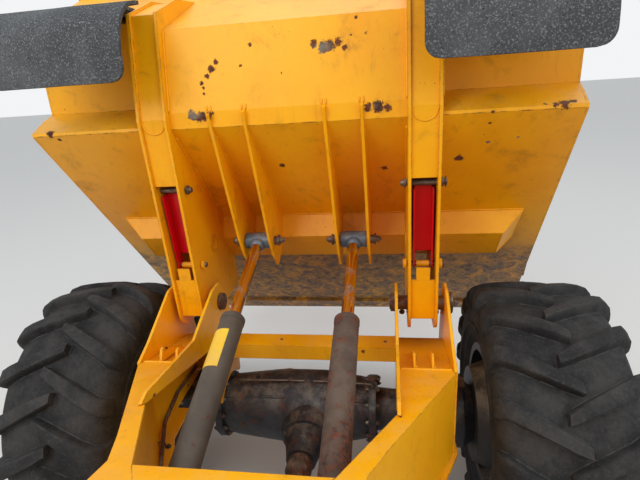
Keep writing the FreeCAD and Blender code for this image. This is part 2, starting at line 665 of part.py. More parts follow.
def rim():
    """The rim tubes: one outside each side wall's top and one behind the rear wall's."""
    half = "skip_half + (wall_up - fold_up) * tan(splay)"
    tube = plate("rim_tube", "X", half + " - 2 * skip_plate", "rim_tube + 2 * skip_plate",
                 (("-wall_back - rim_tube", "wall_up"), ("-wall_back - rim_tube", "wall_up - rim_tube"),
                  ("420", "wall_up - rim_tube"), ("600", "wall_up - 22"), ("600", "wall_up - 8")))
    long = cut("rim_long", tube, [skip_prism("inside_skip", "0")])
    back = block("rim_back", "-(%s) - 5" % half, "-wall_back - rim_tube", "wall_up - rim_tube",
                 "2 * (%s) + 10" % half, "rim_tube + skip_plate", "rim_tube")
    back = cut("rim_back_cut", back, [wall, side, side_other])
    return fuse("rim", [long, mirror("rim_long_left", long), back])


skip_node("skip_rim", rim())

LIP_BACK = off_floor("floor_length - 110", "0")
lip_bar = common("lip_bar", strip("lip_flat", LIP, LIP_BACK, "14", "-1300", "2600"), within)
skip_node("skip_lip", lip_bar)


def beam():
    """The stiffener across the floor's underside: folded section with sloping ends."""
    section = plate("beam_section", "X", "-beam_half", "2 * beam_half",
                    (off_floor("beam_start", "0"), off_floor("beam_top", "beam_deep"),
                     off_floor("beam_low", "beam_deep + 15"), off_floor("beam_end", "0")))
    taper = plate("beam_taper", "Y", "beam_start - 200", "600",
                  (("-beam_half", "0"), ("-beam_half + beam_cut", "-beam_deep - 15"),
                   ("beam_half - beam_cut", "-beam_deep - 15"), ("beam_half", "0")))
    turn(taper, (1, 0, 0), "floor_angle")
    put(taper, 0, "-fold_back", "fold_up")
    return common("beam", section, taper)


stiffener = beam()
skip_node("skip_beam", stiffener)

ARM_HEEL = ("-fold_back - 32", "fold_up - 16")
ARM_BACK = ("-tail_back - arm_box", "tail_up - 14")
ARM_TOP = ("-tail_back - arm_box - 26", "tail_up + 190")
ARM_END = ("-tail_back - 62", "tail_up + 380")
ARM_TOE = ("arm_foot + 6", "-arm_foot + 2")
ARM_TIP = off_floor("985", "190")


def skip_arm():
    """The right-hand lifting arm: two side plates, its covers, the foot's boss and a cross tube."""
    outline = (ARM_HEEL, ARM_TOE + ("arm_foot - 8",), ARM_TIP + ("14",),
               off_floor("beam_end - 8", "beam_deep + 6"), off_floor("beam_start", "0"), BEND_FLOOR,
               BEND_FOOT, TAIL, ARM_END, ARM_TOP, ARM_BACK)
    tube_at = off_floor("579", "181")
    eyes = (("0", "0", "pivot_pin + pin_gap"), (tube_at[0], tube_at[1], "38"))
    inner = plate("arm_inner", "X", "arm_mid - arm_wide / 2", "arm_plate", outline, eyes)
    outer = plate("arm_outer", "X", "arm_mid + arm_wide / 2 - arm_plate", "arm_plate", outline, eyes)
    start, wide = "arm_mid - arm_wide / 2 + arm_plate", "arm_wide - 2 * arm_plate"
    cover_up = strip("arm_cover_up", (ARM_HEEL[0], ARM_HEEL[1] + " + 12"), ("-prop_high - 34", "22"),
                     "6", start, wide)
    cover_heel = strip("arm_cover_heel", (ARM_BACK[0] + " + 8", ARM_BACK[1] + " + 14"),
                       (ARM_HEEL[0], ARM_HEEL[1] + " + 12"), "6", start, wide)
    cover_back = strip("arm_cover_back", (ARM_TOP[0] + " + 12", ARM_TOP[1]),
                       (ARM_BACK[0] + " + 8", ARM_BACK[1] + " + 14"), "6", start, wide)
    cover_top = strip("arm_cover_top", (ARM_END[0] + " + 8", ARM_END[1] + " - 30"),
                      (ARM_TOP[0] + " + 12", ARM_TOP[1]), "6", start, wide)
    foot_face = strip("arm_foot_face", ("-prop_low + 38", "-42"), ("30", "-68"), "6", start, wide)
    tab = strip("arm_tab", ("-prop_low - 14", "-32"), ("-prop_low + 40", "-42"), "6",
                "arm_mid - 27", "54")
    boss = rod("arm_boss", "X", start, 0, 0, "60", wide)
    boss = cut("arm_boss_bored", boss, [rod("arm_bore", "X", start + " - 5", 0, 0,
                                            "pivot_pin + pin_gap", wide + " + 10")])
    sleeve = rod("arm_tube", "X", "arm_mid - arm_wide / 2 - 4", tube_at[0], tube_at[1], "42",
                 "arm_wide + 8")
    sleeve = cut("arm_sleeve", sleeve, [rod("arm_tube_bore", "X", "arm_mid - arm_wide", tube_at[0],
                                            tube_at[1], "34", "arm_wide * 2")])
    return fuse("arm_whole", [inner, outer, cover_up, cover_heel, cover_back, cover_top,
                              foot_face, tab, boss, sleeve])


def skip_pins():
    """The right-hand prop pins and the ram eye's pin ends outside the ribs."""
    start, wide = "arm_mid - arm_wide / 2 - 14", "arm_wide + 28"
    low = rod("prop_pin_low", "X", start, "-prop_low", "prop_low_up", "prop_pin", wide)
    high = rod("prop_pin_high", "X", start, "-prop_high", "prop_high_up", "prop_pin", wide)
    pieces = [low, high]
    for name, x in (("in", "ram_mid - rib_gap / 2 - rib_plate - 16"), ("out", "ram_mid + rib_gap / 2")):
        pieces.append(rod("eye_stub_" + name, "X", x, "-eye_back", "eye_up", "19", "rib_plate + 16"))
    return group("skip_pins_right", pieces)


pins = skip_pins()
pins_other = mirror("skip_pins_left", pins)
arm = cut("arm", skip_arm(), [floor, wall, wing, stiffener, pins])
arm_left = mirror("arm_left", arm)
skip_node("skip_arms", group("arms", [arm, arm_left]))
skip_node("skip_pins", group("skip_pins_both", [pins, pins_other]))


def skip_ribs():
    """Two ribs at each ram eye, from the fold to a point below the beam."""
    lug = off_floor("480", "222")
    outline = (BEND_FOOT, ("-fold_back - 44", "fold_up - 6"), lug + ("40",),
               off_floor("585", "250") + ("40",), off_floor("670", "252"), off_floor("700", "120"),
               off_floor("beam_start", "0"), BEND_FLOOR)
    ribs = []
    for i, x in enumerate(("ram_mid - rib_gap / 2 - rib_plate", "ram_mid + rib_gap / 2")):
        ribs.append(plate("rib%d" % i, "X", x, "rib_plate", outline,
                          (("-eye_back", "eye_up", "19"),)))
    return cut("ribs", group("rib_pair", ribs), [floor, wall, stiffener])


skip_node("skip_ribs", both("ribs_both", skip_ribs()))

# A rubber flap's middle line with the skip tipped: ahead of the front axle, above the ground
FLAP_PATH = ((300, 2342.6), (262, 2329.4), (150, 2322), (50, 2328), (-30, 2334), (-100, 2318),
             (-160, 2268), (-195, 2190), (-208, 2080))


def to_skip(ahead, up):
    """A point given with the skip tipped (from the front axle, from the ground), in skip terms."""
    y, z = "((%s) - pivot_ahead)" % ahead, "((%s) - pivot_up)" % up
    return ("%s * cos(tip_angle) - %s * sin(tip_angle)" % (y, z),
            "%s * sin(tip_angle) + %s * cos(tip_angle)" % (y, z))


def flap():
    """One rubber flap: it leaves the wall, bends over and hangs, notched round the arm."""
    upper, lower = [], []
    last = len(FLAP_PATH) - 1
    for i, (y, z) in enumerate(FLAP_PATH):
        before, after = FLAP_PATH[max(i - 1, 0)], FLAP_PATH[min(i + 1, last)]
        way = V(after[0] - before[0], after[1] - before[1], 0).normalize()
        upper.append(to_skip("%s + flap_thick / 2 * %.4f" % (y, way.y),
                             "%s - flap_thick / 2 * %.4f" % (z, way.x)))
        lower.append(to_skip("%s - flap_thick / 2 * %.4f" % (y, way.y),
                             "%s + flap_thick / 2 * %.4f" % (z, way.x)))
    rubber = plate("flap_right", "X", "flap_in", "flap_out - flap_in", upper + lower[::-1])
    notch = plate("flap_notch", "X", "flap_in - 5", "arm_mid + arm_wide / 2 + 2 - flap_in + 5",
                  [to_skip(*spot) for spot in (("-8", "2100"), ("400", "2100"), ("400", "2500"),
                                               ("-8", "2500"))])
    return cut("flap", rubber, [notch])


skip_node("skip_flaps", both("flaps", flap()))


def prop():
    """A red skip prop: a channel on the lower pin, drawn along the way to the upper pin."""
    long = "hypot(prop_high - prop_low; prop_high_up - prop_low_up)"
    ends = "(%s) - prop_pin - 8" % long
    half = "prop_deep / 2"
    flange = (("0", half), (ends, half), (ends, "-(%s)" % half), ("0", "-(%s)" % half),
              ("-16", "-14", 10), ("-16", "14", 10))
    sides = [plate("prop_flange%d" % i, "X", x, "prop_plate", flange, (("0", "0", "prop_pin + pin_gap"),))
             for i, x in enumerate(("-prop_wide / 2", "prop_wide / 2 - prop_plate"))]
    web = block("prop_web", "-prop_wide / 2", "48", "-prop_deep / 2", "prop_wide",
                "(%s) - 48" % ends, "prop_plate")
    return fuse("prop", sides + [web])


prop_shape = prop()


def held(name, shape, x, angle, place):
    """A copy of a shape turned about X and set down at a place (Y, Z)."""
    copy = group("set_" + name, [shape])
    turn(copy, (1, 0, 0), angle)
    return put(copy, x, place[0], place[1])


PROP_TURN = "180 deg - atan2(prop_high_up - prop_low_up; prop_high - prop_low)"
for side_name, x in (("left", "-arm_mid"), ("right", "arm_mid")):
    name = "skip_prop_" + side_name
    skip_node(name, held(name, prop_shape, x, PROP_TURN, ("-prop_low", "prop_low_up")))

# Tipping rams, drawn along Y from the base pin

EYE = ("pivot_ahead - eye_back * cos(tip_angle) + eye_up * sin(tip_angle)",
       "pivot_up + eye_back * sin(tip_angle) + eye_up * cos(tip_angle)")
RAM_RUN = ("(%s) + ram_base_back" % EYE[0], "(%s) - ram_base_up" % EYE[1])
RAM_LONG = "hypot(%s; %s)" % RAM_RUN
RAM_ANGLE = "atan2(%s; %s)" % (RAM_RUN[1], RAM_RUN[0])


def ram_barrel():
    """The barrel with its gland and base eye."""
    gland = "(%s) - ram_out" % RAM_LONG
    tube = revolve("barrel_tube", "Y", (
        ("30", "0"), ("30", "ram_barrel"), ("(%s) - 8" % gland, "ram_barrel"),
        (gland, "ram_barrel - 8"), (gland, "ram_rod + pin_gap"), ("(%s) - 30" % gland, "ram_rod + pin_gap"),
        ("(%s) - 30" % gland, "ram_barrel - 8"), ("70", "ram_barrel - 8"), ("70", "0")))
    eye = rod("barrel_eye", "X", "-eye_wide / 2", 0, 0, "40", "eye_wide")
    bore = rod("barrel_eye_bore", "X", "-eye_wide", 0, 0, "25 + pin_gap", "2 * eye_wide")
    return cut("ram_barrel_bored", fuse("ram_barrel_solid", [tube, eye]), [bore])


def ram_rod():
    """The rod with its piston and eye, its middle on the ram's eye point."""
    bar = revolve("rod_bar", "Y", (
        ("(%s) - ram_out - 310" % RAM_LONG, "0"), ("(%s) - ram_out - 310" % RAM_LONG, "ram_barrel - 8.4"),
        ("(%s) - ram_out - 260" % RAM_LONG, "ram_barrel - 8.4"),
        ("(%s) - ram_out - 260" % RAM_LONG, "ram_rod"), (RAM_LONG, "ram_rod"), (RAM_LONG, "0")))
    eye = rod("rod_eye", "X", "-eye_wide / 2", RAM_LONG, 0, "eye_radius", "eye_wide")
    return fuse("ram_rod_whole", [bar, eye])


barrel_shape, rod_shape = ram_barrel(), ram_rod()
for side_name, x in (("left", "-ram_mid"), ("right", "ram_mid")):
    for kind, shape in (("barrel", barrel_shape), ("rod", rod_shape)):
        name = "tip_ram_%s_%s" % (kind, side_name)
        node(name, held(name, shape, x, RAM_ANGLE, ("-ram_base_back", "ram_base_up")))

# Wheels, drawn about the X axis with the outer side at plus X

LUG_LEAN = 45.0


def tyre():
    """A chevron-lug tyre: turned carcass with a pair of leaning lugs, repeated round it."""
    half = "tyre_width / 2"
    deep = "tyre_radius - lug_height"
    carcass = revolve("tyre_carcass", "X", (
        ("-rim_width / 2 + 25", "rim_radius"), ("-rim_width / 2", "rim_radius + 22"),
        ("-%s + 12" % half, "rim_radius + 90"), ("-%s + 12" % half, deep + " - 95"),
        ("-%s + 60" % half, deep + " - 12"), ("0", deep), ("%s - 60" % half, deep + " - 12"),
        ("%s - 12" % half, deep + " - 95"), ("%s - 12" % half, "rim_radius + 90"),
        ("rim_width / 2", "rim_radius + 22"), ("rim_width / 2 - 25", "rim_radius")))
    width = value("tyre_width")
    top = value("tyre_radius")
    base = top - value("lug_height") - 30
    wide = value("lug_width")
    lugs = []
    pairs = int(value("lug_pairs"))
    tan_lean = math.tan(math.radians(LUG_LEAN))
    for i in range(2 * pairs):
        side_sign = 1 if i % 2 else -1
        start = math.radians(360.0 / (2 * pairs) * i)
        near, far = -28.0, width / 2 - 2
        run = (far - near) * tan_lean / 2

        def corner(x, shift, radius):
            turned = start + shift / top
            return V(side_sign * x, radius * math.sin(turned), radius * math.cos(turned))

        rows = ((near, 0.0, top), (far - 55, run * 0.85, top), (far, run, top - 62))
        rings = []
        for x, shift, high in rows:
            low = base if x < far else base - 110
            rings.append([corner(x, shift - wide / 2, low), corner(x, shift + wide / 2, low),
                          corner(x, shift + wide / 2 - 6, high), corner(x, shift - wide / 2 + 6, high)])
        faces = [Part.Face(Part.makePolygon(rings[0] + rings[0][:1])),
                 Part.Face(Part.makePolygon(rings[-1] + rings[-1][:1]))]
        for a, b in zip(rings, rings[1:]):
            for k in range(4):
                m = (k + 1) % 4
                for tri in ((a[k], a[m], b[m]), (a[k], b[m], b[k])):
                    faces.append(Part.Face(Part.makePolygon(list(tri) + [tri[0]])))
        solid = Part.Solid(Part.Shell(faces))
        solid.fix(1e-4, 1e-4, 1e-4)
        if solid.Volume < 0:
            solid.reverse()
        lugs.append(solid)
    doc.recompute()
    out = doc.addObject("Part::Feature", "tyre")
    out.Shape = carcass.Shape.fuse(lugs).removeSplitter()
    return out


def wheel_rim():
    """The rim's turned section: flanges, drop centre and a dished disc that bolts to the hub."""
    half = "rim_width / 2"
    face = "hub_face - track / 2"
    return revolve("rim_turned", "X", (
        ("-%s - 12" % half, "rim_radius - rim_wall"), ("-%s - 12" % half, "rim_radius + 22"),
        ("-%s - 1" % half, "rim_radius + 22"), ("-%s - 1" % half, "rim_radius - 0.3"),
        ("%s + 1" % half, "rim_radius - 0.3"), ("%s + 1" % half, "rim_radius + 22"),
        ("%s + 12" % half, "rim_radius + 22"), ("%s + 12" % half, "rim_radius - rim_wall"),
        ("-60", "rim_radius - rim_wall"), ("%s + 16" % face, "190"), ("%s + 16" % face, "112"),
        ("70", "100"), ("100", "82"), ("100", "0"), ("%s + spindle_long + 2" % face, "0"),
        ("%s + spindle_long + 2" % face, "spindle + pin_gap"), (face, "spindle + pin_gap"),
        (face, "200"),
        ("-76", "rim_radius - rim_wall")))


tyre_shape = tyre()
rim_shape = wheel_rim()
for end, at in (("front", "0"), ("rear", "-wheelbase")):
    for side_name, sign, spin in (("right", "", 0), ("left", "-", 180)):
        for kind, shape in (("tyre", tyre_shape), ("wheel", rim_shape)):
            name = "%s_%s_%s" % (end, kind, side_name)
            copy = group("set_" + name, [shape])
            copy.Placement = FreeCAD.Placement(V(), FreeCAD.Rotation(V(0, 0, 1), spin))
            node(name, put(copy, sign + "track / 2", at, "tyre_radius"))

# Rear half: frame, trunnion, axle, shaft


def rear_frame():
    """Two box rails, their cross plates and the joint block between the front half's lugs."""
    rails = []
    for i, x in enumerate(("rear_rail_in", "-rear_rail_in - rear_rail_wide")):
        rails.append(block("rear_rail%d" % i, x, "-wheelbase - rear_overhang + 160", "rear_rail_low",
                           "rear_rail_wide", "wheelbase + rear_overhang - 160 - rear_frame_start",
                           "rear_rail_deep"))
    half = "rear_rail_in + rear_rail_wide"
    front = plate("rear_front_plate", "Y", "-rear_frame_start", "25",
                  (("-110", "rear_rail_low - 120"), ("110", "rear_rail_low - 120"),
                   ("110", "rear_rail_low - 10"), (half, "rear_rail_low - 10"),
                   (half, "rear_rail_low + rear_rail_deep"),
                   ("-(%s)" % half, "rear_rail_low + rear_rail_deep"),
                   ("-(%s)" % half, "rear_rail_low - 10"), ("-110", "rear_rail_low - 10")),
                  (("0", "720", "72"),))
    trunnion = plate("trunnion", "X", "-80", "160",
                     (("-rear_frame_start + 25", "rear_rail_low - 100"),
                      ("-joint_behind - 90", "lug_low + joint_lug + 2"),
                      ("-joint_behind + 55", "lug_low + joint_lug + 2", 30),
                      ("-joint_behind + 55", "lug_high - 2", 30), ("-joint_behind - 90", "lug_high - 2"),
                      ("-rear_frame_start + 25", "rear_rail_low + rear_rail_deep")))
    tunnel = block("trunnion_tunnel", "-81", "-rear_frame_start - 5", "610", "162", "400", "220")
    bore = rod("trunnion_bore", "Z", 0, "-joint_behind", "lug_low - 10", "joint_pin + pin_gap", "600")
    crosses = [block("rear_cross%d" % i, "-(%s)" % half, at, "rear_rail_low + 20", "2 * (%s)" % half,
                     "12", "rear_rail_deep - 40")
               for i, at in enumerate(("-wheelbase + 360", "-wheelbase - 700"))]
    block_body = cut("trunnion_cut", trunnion, [tunnel, bore])
    sides = [plate("trunnion_wing%d" % i, "X", x, "20",
                   (("-rear_frame_start + 25", "rear_rail_low - 100"), ("-joint_behind - 95", "600"),
                    ("-joint_behind - 95", "840"), ("-rear_frame_start + 25", "rear_rail_low + 130")))
             for i, x in enumerate(("-100", "80"))]
    anchor = [block("steer_lug%d" % i, "130", "-steer_anchor_back - 50", up, "rear_rail_in - 130", "100",
                    "12") for i, up in enumerate(("steer_up - 50", "steer_up + 38"))]
    anchor.append(block("steer_lug_web", "rear_rail_in - 12", "-steer_anchor_back - 50",
                        "steer_up - 50", "12", "60", "rear_rail_low - steer_up + 80"))
    anchored = cut("steer_anchor", fuse("steer_anchor_whole", anchor),
                   [rod("steer_anchor_bore", "Z", "steer_anchor_out", "-steer_anchor_back",
                        "steer_up - 65", "steer_pin", "130")])
    whole = fuse("rear_frame_whole", rails + [front, block_body, anchored] + sides + crosses)
    space = rod("rear_axle_space", "X", "-casing_left - 35", "-wheelbase", "tyre_radius",
                "casing_radius + 2", "2 * casing_left + 70")
    return cut("rear_frame_clear", whole, [space])


rear_casing = casing("rear_casing")
rear_nose = revolve("rear_nose", "Y", (("330", "0"), ("330", "62"), ("290", "70"),
                                       ("150", "110"), ("0", "110"), ("0", "0")))
rear_seat = block("rear_axle_seat", "rear_rail_in", "-150", "40", "rear_rail_wide", "300",
                  "rear_rail_low - tyre_radius - 40")
rear_axle = group("rear_axle_set", [fuse("rear_axle_whole", [rear_casing, rear_nose, rear_seat,
                                                             mirror("rear_seat_left", rear_seat)])])
node("rear_axle", put(rear_axle, 0, "-wheelbase", "tyre_radius"))
node("rear_frame", rear_frame())
joint_pins = [rod("joint_pin%d" % i, "Z", 0, "-joint_behind", up, "joint_pin", long)
              for i, (up, long) in enumerate((("lug_low - 20", "100"), ("lug_high - 60", "120")))]
node("joint_pins", group("joint_pin_pair", joint_pins))
node("rear_propshaft", shaft("rear_shaft", "-wheelbase + 339", "-joint_behind - 62", "tyre_radius", "720"))
engine = block("engine", "-250", "-wheelbase - 560", "rear_rail_low + rear_rail_deep + 10", "500",
               "600", "520")
mounts = [block("engine_foot%d" % i, x, y, "rear_rail_low + rear_rail_deep", "60", "80", "10")
          for i, (x, y) in enumerate((("-rear_rail_in - 50", "-wheelbase - 500"),
                                      ("rear_rail_in - 10", "-wheelbase - 500"),
                                      ("-rear_rail_in - 50", "-wheelbase - 40"),
                                      ("rear_rail_in - 10", "-wheelbase - 40")))]
node("engine_block", fuse("engine_whole", [engine] + mounts))


def weight():
    """The counterweight: a cast rear bumper with a towing clevis."""
    back = "-wheelbase - rear_overhang"
    slab = plate("weight_slab", "Z", "rear_rail_low - 140", "420",
                 (("-620", back + " + 160"), ("-620", back + " + 70", 40), ("-500", back, 60),
                  ("500", back, 60), ("620", back + " + 70", 40), ("620", back + " + 160")))
    mouth = block("clevis_mouth", "-90", back + " - 1", "rear_rail_low - 70", "180", "110", "90")
    above = block("clevis_above", "-60", back + " - 1", "rear_rail_low + 50", "120", "110", "300")
    hole = rod("clevis_hole", "Z", 0, back + " + 50", "rear_rail_low - 200", "tow_pin", "300")
    pockets = [block("lamp_pocket%d" % i, x, back + " - 1", "rear_rail_low + 120", "120", "41", "60")
               for i, x in enumerate(("370", "-490"))]
    ears = [plate("hood_ear%d" % i, "X", x, "10",
                  (("-hood_end - 26", "hood_low"), ("-hood_end - 2", "hood_low"),
                   ("-hood_end - 2", "hood_low + 28", 11), ("-hood_end - 26", "hood_low + 28", 11)))
            for i, x in enumerate(("300", "341", "-310", "-351"))]
    pins = [rod("hood_pin%d" % i, "X", x, "-hood_end - 14", "hood_low + 16", "8", "51")
            for i, x in enumerate(("300", "-351"))]
    return fuse("weight", [cut("weight_body", slab, [mouth, above, hole] + pockets)] + ears + pins)


node("counterweight", weight())


def platform():
    """The driver's floor with its steps, the seat box and the upright in front."""
    floor_up = "rear_rail_low + rear_rail_deep"
    deck = plate("platform_deck", "Z", floor_up, "platform_plate",
                 (("-platform_half", "-platform_end"), ("platform_half", "-platform_end"),
                  ("platform_half", "-rear_frame_start - 60"), ("420", "-rear_frame_start + 20"),
                  ("-420", "-rear_frame_start + 20"), ("-platform_half", "-rear_frame_start - 60")))
    box = block("seat_box", "-260", "-seat_back - 130", floor_up + " + platform_plate", "520",
                "430", "200")
    steps = []
    for i, x in enumerate(("platform_half - 8", "-platform_half")):
        steps.append(block("step_hanger%d" % i, x, "-1900", "440", "8", "300",
                           floor_up + " - 440"))
    for i, x in enumerate(("platform_half", "-platform_half - 150")):
        steps.append(block("step_tread%d" % i, x, "-1880", "440", "150", "260", "6"))
    toe = block("platform_toe", "-415", "-rear_frame_start + 14", floor_up + " + platform_plate",
                "830", "6", "60")
    return fuse("platform", [deck, box, toe] + steps)


node("platform", platform())


def tanks():
    """Fuel tank on the left and oil tank on the right, under the platform."""
    tank = plate("tank_right", "X", "rear_rail_in + rear_rail_wide + 12", "280",
                 (("-1900", "470", 40), ("-1900", "rear_rail_low + rear_rail_deep", 20),
                  ("-1540", "rear_rail_low + rear_rail_deep", 20), ("-1540", "540", 60),
                  ("-1600", "470", 40)))
    return tank


node("side_tanks", both("tanks", tanks()))


def seat():
    """The seat: cushion and backrest on a low base, with rounded corners."""
    up = "rear_rail_low + rear_rail_deep + platform_plate + 200"
    base = block("seat_base", "-190", "-seat_back + 10", up, "380", "360", "seat_up - 120 - (%s)" % up)
    shell = plate("seat_shell", "X", "-240", "480",
                  (("-seat_back + 440", "seat_up - 120", 30), ("-seat_back + 440", "seat_up", 45),
                   ("-seat_back + 70", "seat_up - 22", 40), ("-seat_back - 20", "seat_up + 430", 50),
                   ("-seat_back - 120", "seat_up + 430", 50), ("-seat_back - 60", "seat_up - 120", 40)))
    return fuse("seat", [base, shell])


node("seat", seat())


def leaning(name, obj):
    """A piece drawn upright about the steering wheel's middle, leant back with the column."""
    copy = group(name + "_leaning", [obj])
    turn(copy, (1, 0, 0), "wheel_lean")
    return put(copy, 0, "-wheel_back - 48", "wheel_up - 17")


def console():
    """The dash upright and its sloping top, the steering column and two levers."""
    up = "rear_rail_low + rear_rail_deep + platform_plate"
    body = plate("console_body", "X", "-210", "420",
                 (("-wheel_back + 60", up), ("-wheel_back + 140", up),
                  ("-wheel_back + 140", "wheel_up - 200", 40), ("-wheel_back", "wheel_up - 250", 30)))
    tube = rod("column_tube", "Z", 0, 0, "-350", "28", "331.5")
    spindle = rod("column_spindle", "Z", 0, 0, "-30", "10", "40")
    column = leaning("column", fuse("column_whole", [tube, spindle]))
    return fuse("console_whole", [body, column])


node("console", console())


def steering_wheel():
    """A three-spoke steering wheel, drawn flat and tilted on the column."""
    ring = doc.addObject("Part::Torus", "steering_ring")
    tie(ring, "Radius1", "wheel_radius")
    tie(ring, "Radius2", "14")
    hub = rod("steering_hub", "Z", 0, 0, "-18", "42", "30")
    spokes = []
    for i in range(3):
        spoke = block("steering_spoke%d" % i, 0, 0, 0, "wheel_radius", "26", "8")
        spoke.Placement = FreeCAD.Placement(V(), FreeCAD.Rotation(V(0, 0, 1), 90 + 120 * i))
        spokes.append(spoke)
    bore = rod("steering_bore", "Z", 0, 0, "-40", "10 + pin_gap", "80")
    return leaning("steering", cut("steering_flat", fuse("steering_whole", [ring, hub] + spokes), [bore]))


node("steering_wheel", steering_wheel())


def guards():
    """The right-hand rear mudguard: a faceted arch with an inner skirt and two brackets."""
    inside, outside = "tyre_radius + guard_gap", "tyre_radius + guard_gap + guard_plate"
    angles = [18 + 18 * i for i in range(9)]

    def arc(radius, order):
        return [("-wheelbase + (%s) * cos(%d)" % (radius, a), "tyre_radius + (%s) * sin(%d)" % (radius, a))
                for a in order]

    start = "track / 2 - tyre_width / 2 - 25"
    arch = plate("guard_arch", "X", start, "tyre_width + 20",
                 arc(outside, angles) + arc(inside, angles[::-1]))
    skirt = plate("guard_skirt", "X", start, "guard_plate",
                  arc(inside, angles) + arc("tyre_radius - 25", angles[::-1]))
    up = "rear_rail_low + rear_rail_deep + platform_plate"
    brackets = [plate("guard_bracket%d" % i, "Y", at, "8",
                      (("platform_half - 50", up), ("platform_half", up), (start, up + " + 150"),
                       (start, up + high), (start + " - 12", up + high),
                       ("platform_half - 50", up + " + 60")))
                for i, (at, high) in enumerate((("-2110", " + 265"), ("-platform_end", " + 340")))]
    return fuse("guard", [arch, skirt] + brackets)


guard = guards()
node("rear_mudguards", both("mudguards", guard))


def hood():
    """The engine hood: a folded shell with louvred sides and an open grille at the back."""
    outline = (("-hood_start", "hood_low"), ("-hood_start", "hood_high", 60),
               ("-hood_end + 120", "hood_high - 40", 90), ("-hood_end", "hood_high - 190", 60),
               ("-hood_end", "hood_low"))
    inner = (("-hood_start - hood_plate", "hood_low - 1"),
             ("-hood_start - hood_plate", "hood_high - hood_plate", 55),
             ("-hood_end + 120 + hood_plate", "hood_high - 40 - hood_plate", 85),
             ("-hood_end + hood_plate", "hood_high - 190 - hood_plate", 55),
             ("-hood_end + hood_plate", "hood_low - 1"))
    outside = plate("hood_outside", "X", "-hood_half", "2 * hood_half", outline)
    inside = plate("hood_inside", "X", "-hood_half + hood_plate", "2 * hood_half - 2 * hood_plate", inner)
    cuts = [inside]
    for i in range(7):
        cuts.append(block("grille_slot%d" % i, "-330", "-hood_end - 10", "1040 + %d" % (45 * i), "660",
                          "60", "26"))
    for i in range(6):
        cuts.append(block("louvre%d" % i, "-hood_half - 10", "-hood_end + 240 + %d" % (70 * i), "1110",
                          "2 * hood_half + 20", "34", "220"))
    shell = cut("hood_shell", outside, cuts)
    knuckles = []
    for i, x in enumerate(("311", "-340")):
        knuckles.append(rod("hood_knuckle%d" % i, "X", x, "-hood_end - 14", "hood_low + 16", "12", "29"))
        knuckles.append(block("hood_leaf%d" % i, x, "-hood_end - 14", "hood_low + 8", "29", "16", "16"))
    bores = [rod("hood_bore%d" % i, "X", x, "-hood_end - 14", "hood_low + 16", "8 + pin_gap", "80")
             for i, x in enumerate(("285", "-365"))]
    return cut("hood", fuse("hood_whole", [shell] + knuckles), bores)


node("engine_hood", hood())


def roll_bar():
    """The roll bar: fixed posts below the fold, and the folding hoop above it."""
    posts = []
    for i, x in enumerate(("bar_half - bar_tube", "-bar_half - bar_tube")):
        low = block("post%d" % i, x, "-bar_back - bar_tube",
                    "rear_rail_low + rear_rail_deep + platform_plate",
                    "2 * bar_tube", "2 * bar_tube",
                    "bar_fold - 70 - rear_rail_low - rear_rail_deep - platform_plate")
        posts.append(low)
        for k, ear in enumerate(("-10", "2 * bar_tube")):
            posts.append(plate("post_ear%d%d" % (i, k), "X", "%s + %s" % (x, ear), "10",
                               (("-bar_back - bar_tube", "bar_fold - 150"),
                                ("-bar_back + bar_tube", "bar_fold - 150"),
                                ("-bar_back + bar_tube", "bar_fold + 35", 30),
                                ("-bar_back - bar_tube", "bar_fold + 35", 30))))
        posts.append(rod("fold_pin%d" % i, "X", "%s - 22" % x, "-bar_back", "bar_fold", "12",
                         "2 * bar_tube + 44"))
    lower = fuse("posts", posts)
    half, tube = "bar_half", "bar_tube"
    hoop = plate("hoop_outside", "Y", "-bar_back - bar_tube", "2 * bar_tube",
                 (("-bar_half - bar_tube + 1", "bar_fold - 60"),
                  ("-bar_half - bar_tube + 1", "bar_top", 150),
                  ("bar_half + bar_tube - 1", "bar_top", 150),
                  ("bar_half + bar_tube - 1", "bar_fold - 60"),
                  ("bar_half - bar_tube + 1", "bar_fold - 60"),
                  ("bar_half - bar_tube + 1", "bar_top - 2 * bar_tube", 80),
                  ("-bar_half + bar_tube - 1", "bar_top - 2 * bar_tube", 80),
                  ("-bar_half + bar_tube - 1", "bar_fold - 60")))
    bores = rod("hoop_bore", "X", "-bar_half - 100", "-bar_back", "bar_fold", "12 + pin_gap",
                "2 * bar_half + 200")
    upper = cut("hoop", hoop, [bores])
    return lower, upper


posts, hoop = roll_bar()
node("roll_bar_posts", posts)
node("roll_bar_hoop", hoop)


def lamps():
    """Work lamps on the platform's front corners and tail lamps on the counterweight."""
    out = []
    for i, x in enumerate(("430", "-430 - 120")):
        out.append(block("head_lamp%d" % i, x, "-rear_frame_start - 50",
                         "rear_rail_low + rear_rail_deep + platform_plate", "120", "60", "110"))
    for i, x in enumerate(("370", "-490")):
        out.append(block("tail_lamp%d" % i, x, "-wheelbase - rear_overhang + 2", "rear_rail_low + 120",
                         "120", "38", "60"))
    return group("lamps", out)


node("lamps", lamps())

# Steering ram, drawn along Y from the rear pin

STEER_RUN = ("steer_eye_out - steer_anchor_out", "steer_anchor_back - steer_eye_back")
STEER_LONG = "hypot(%s; %s)" % STEER_RUN


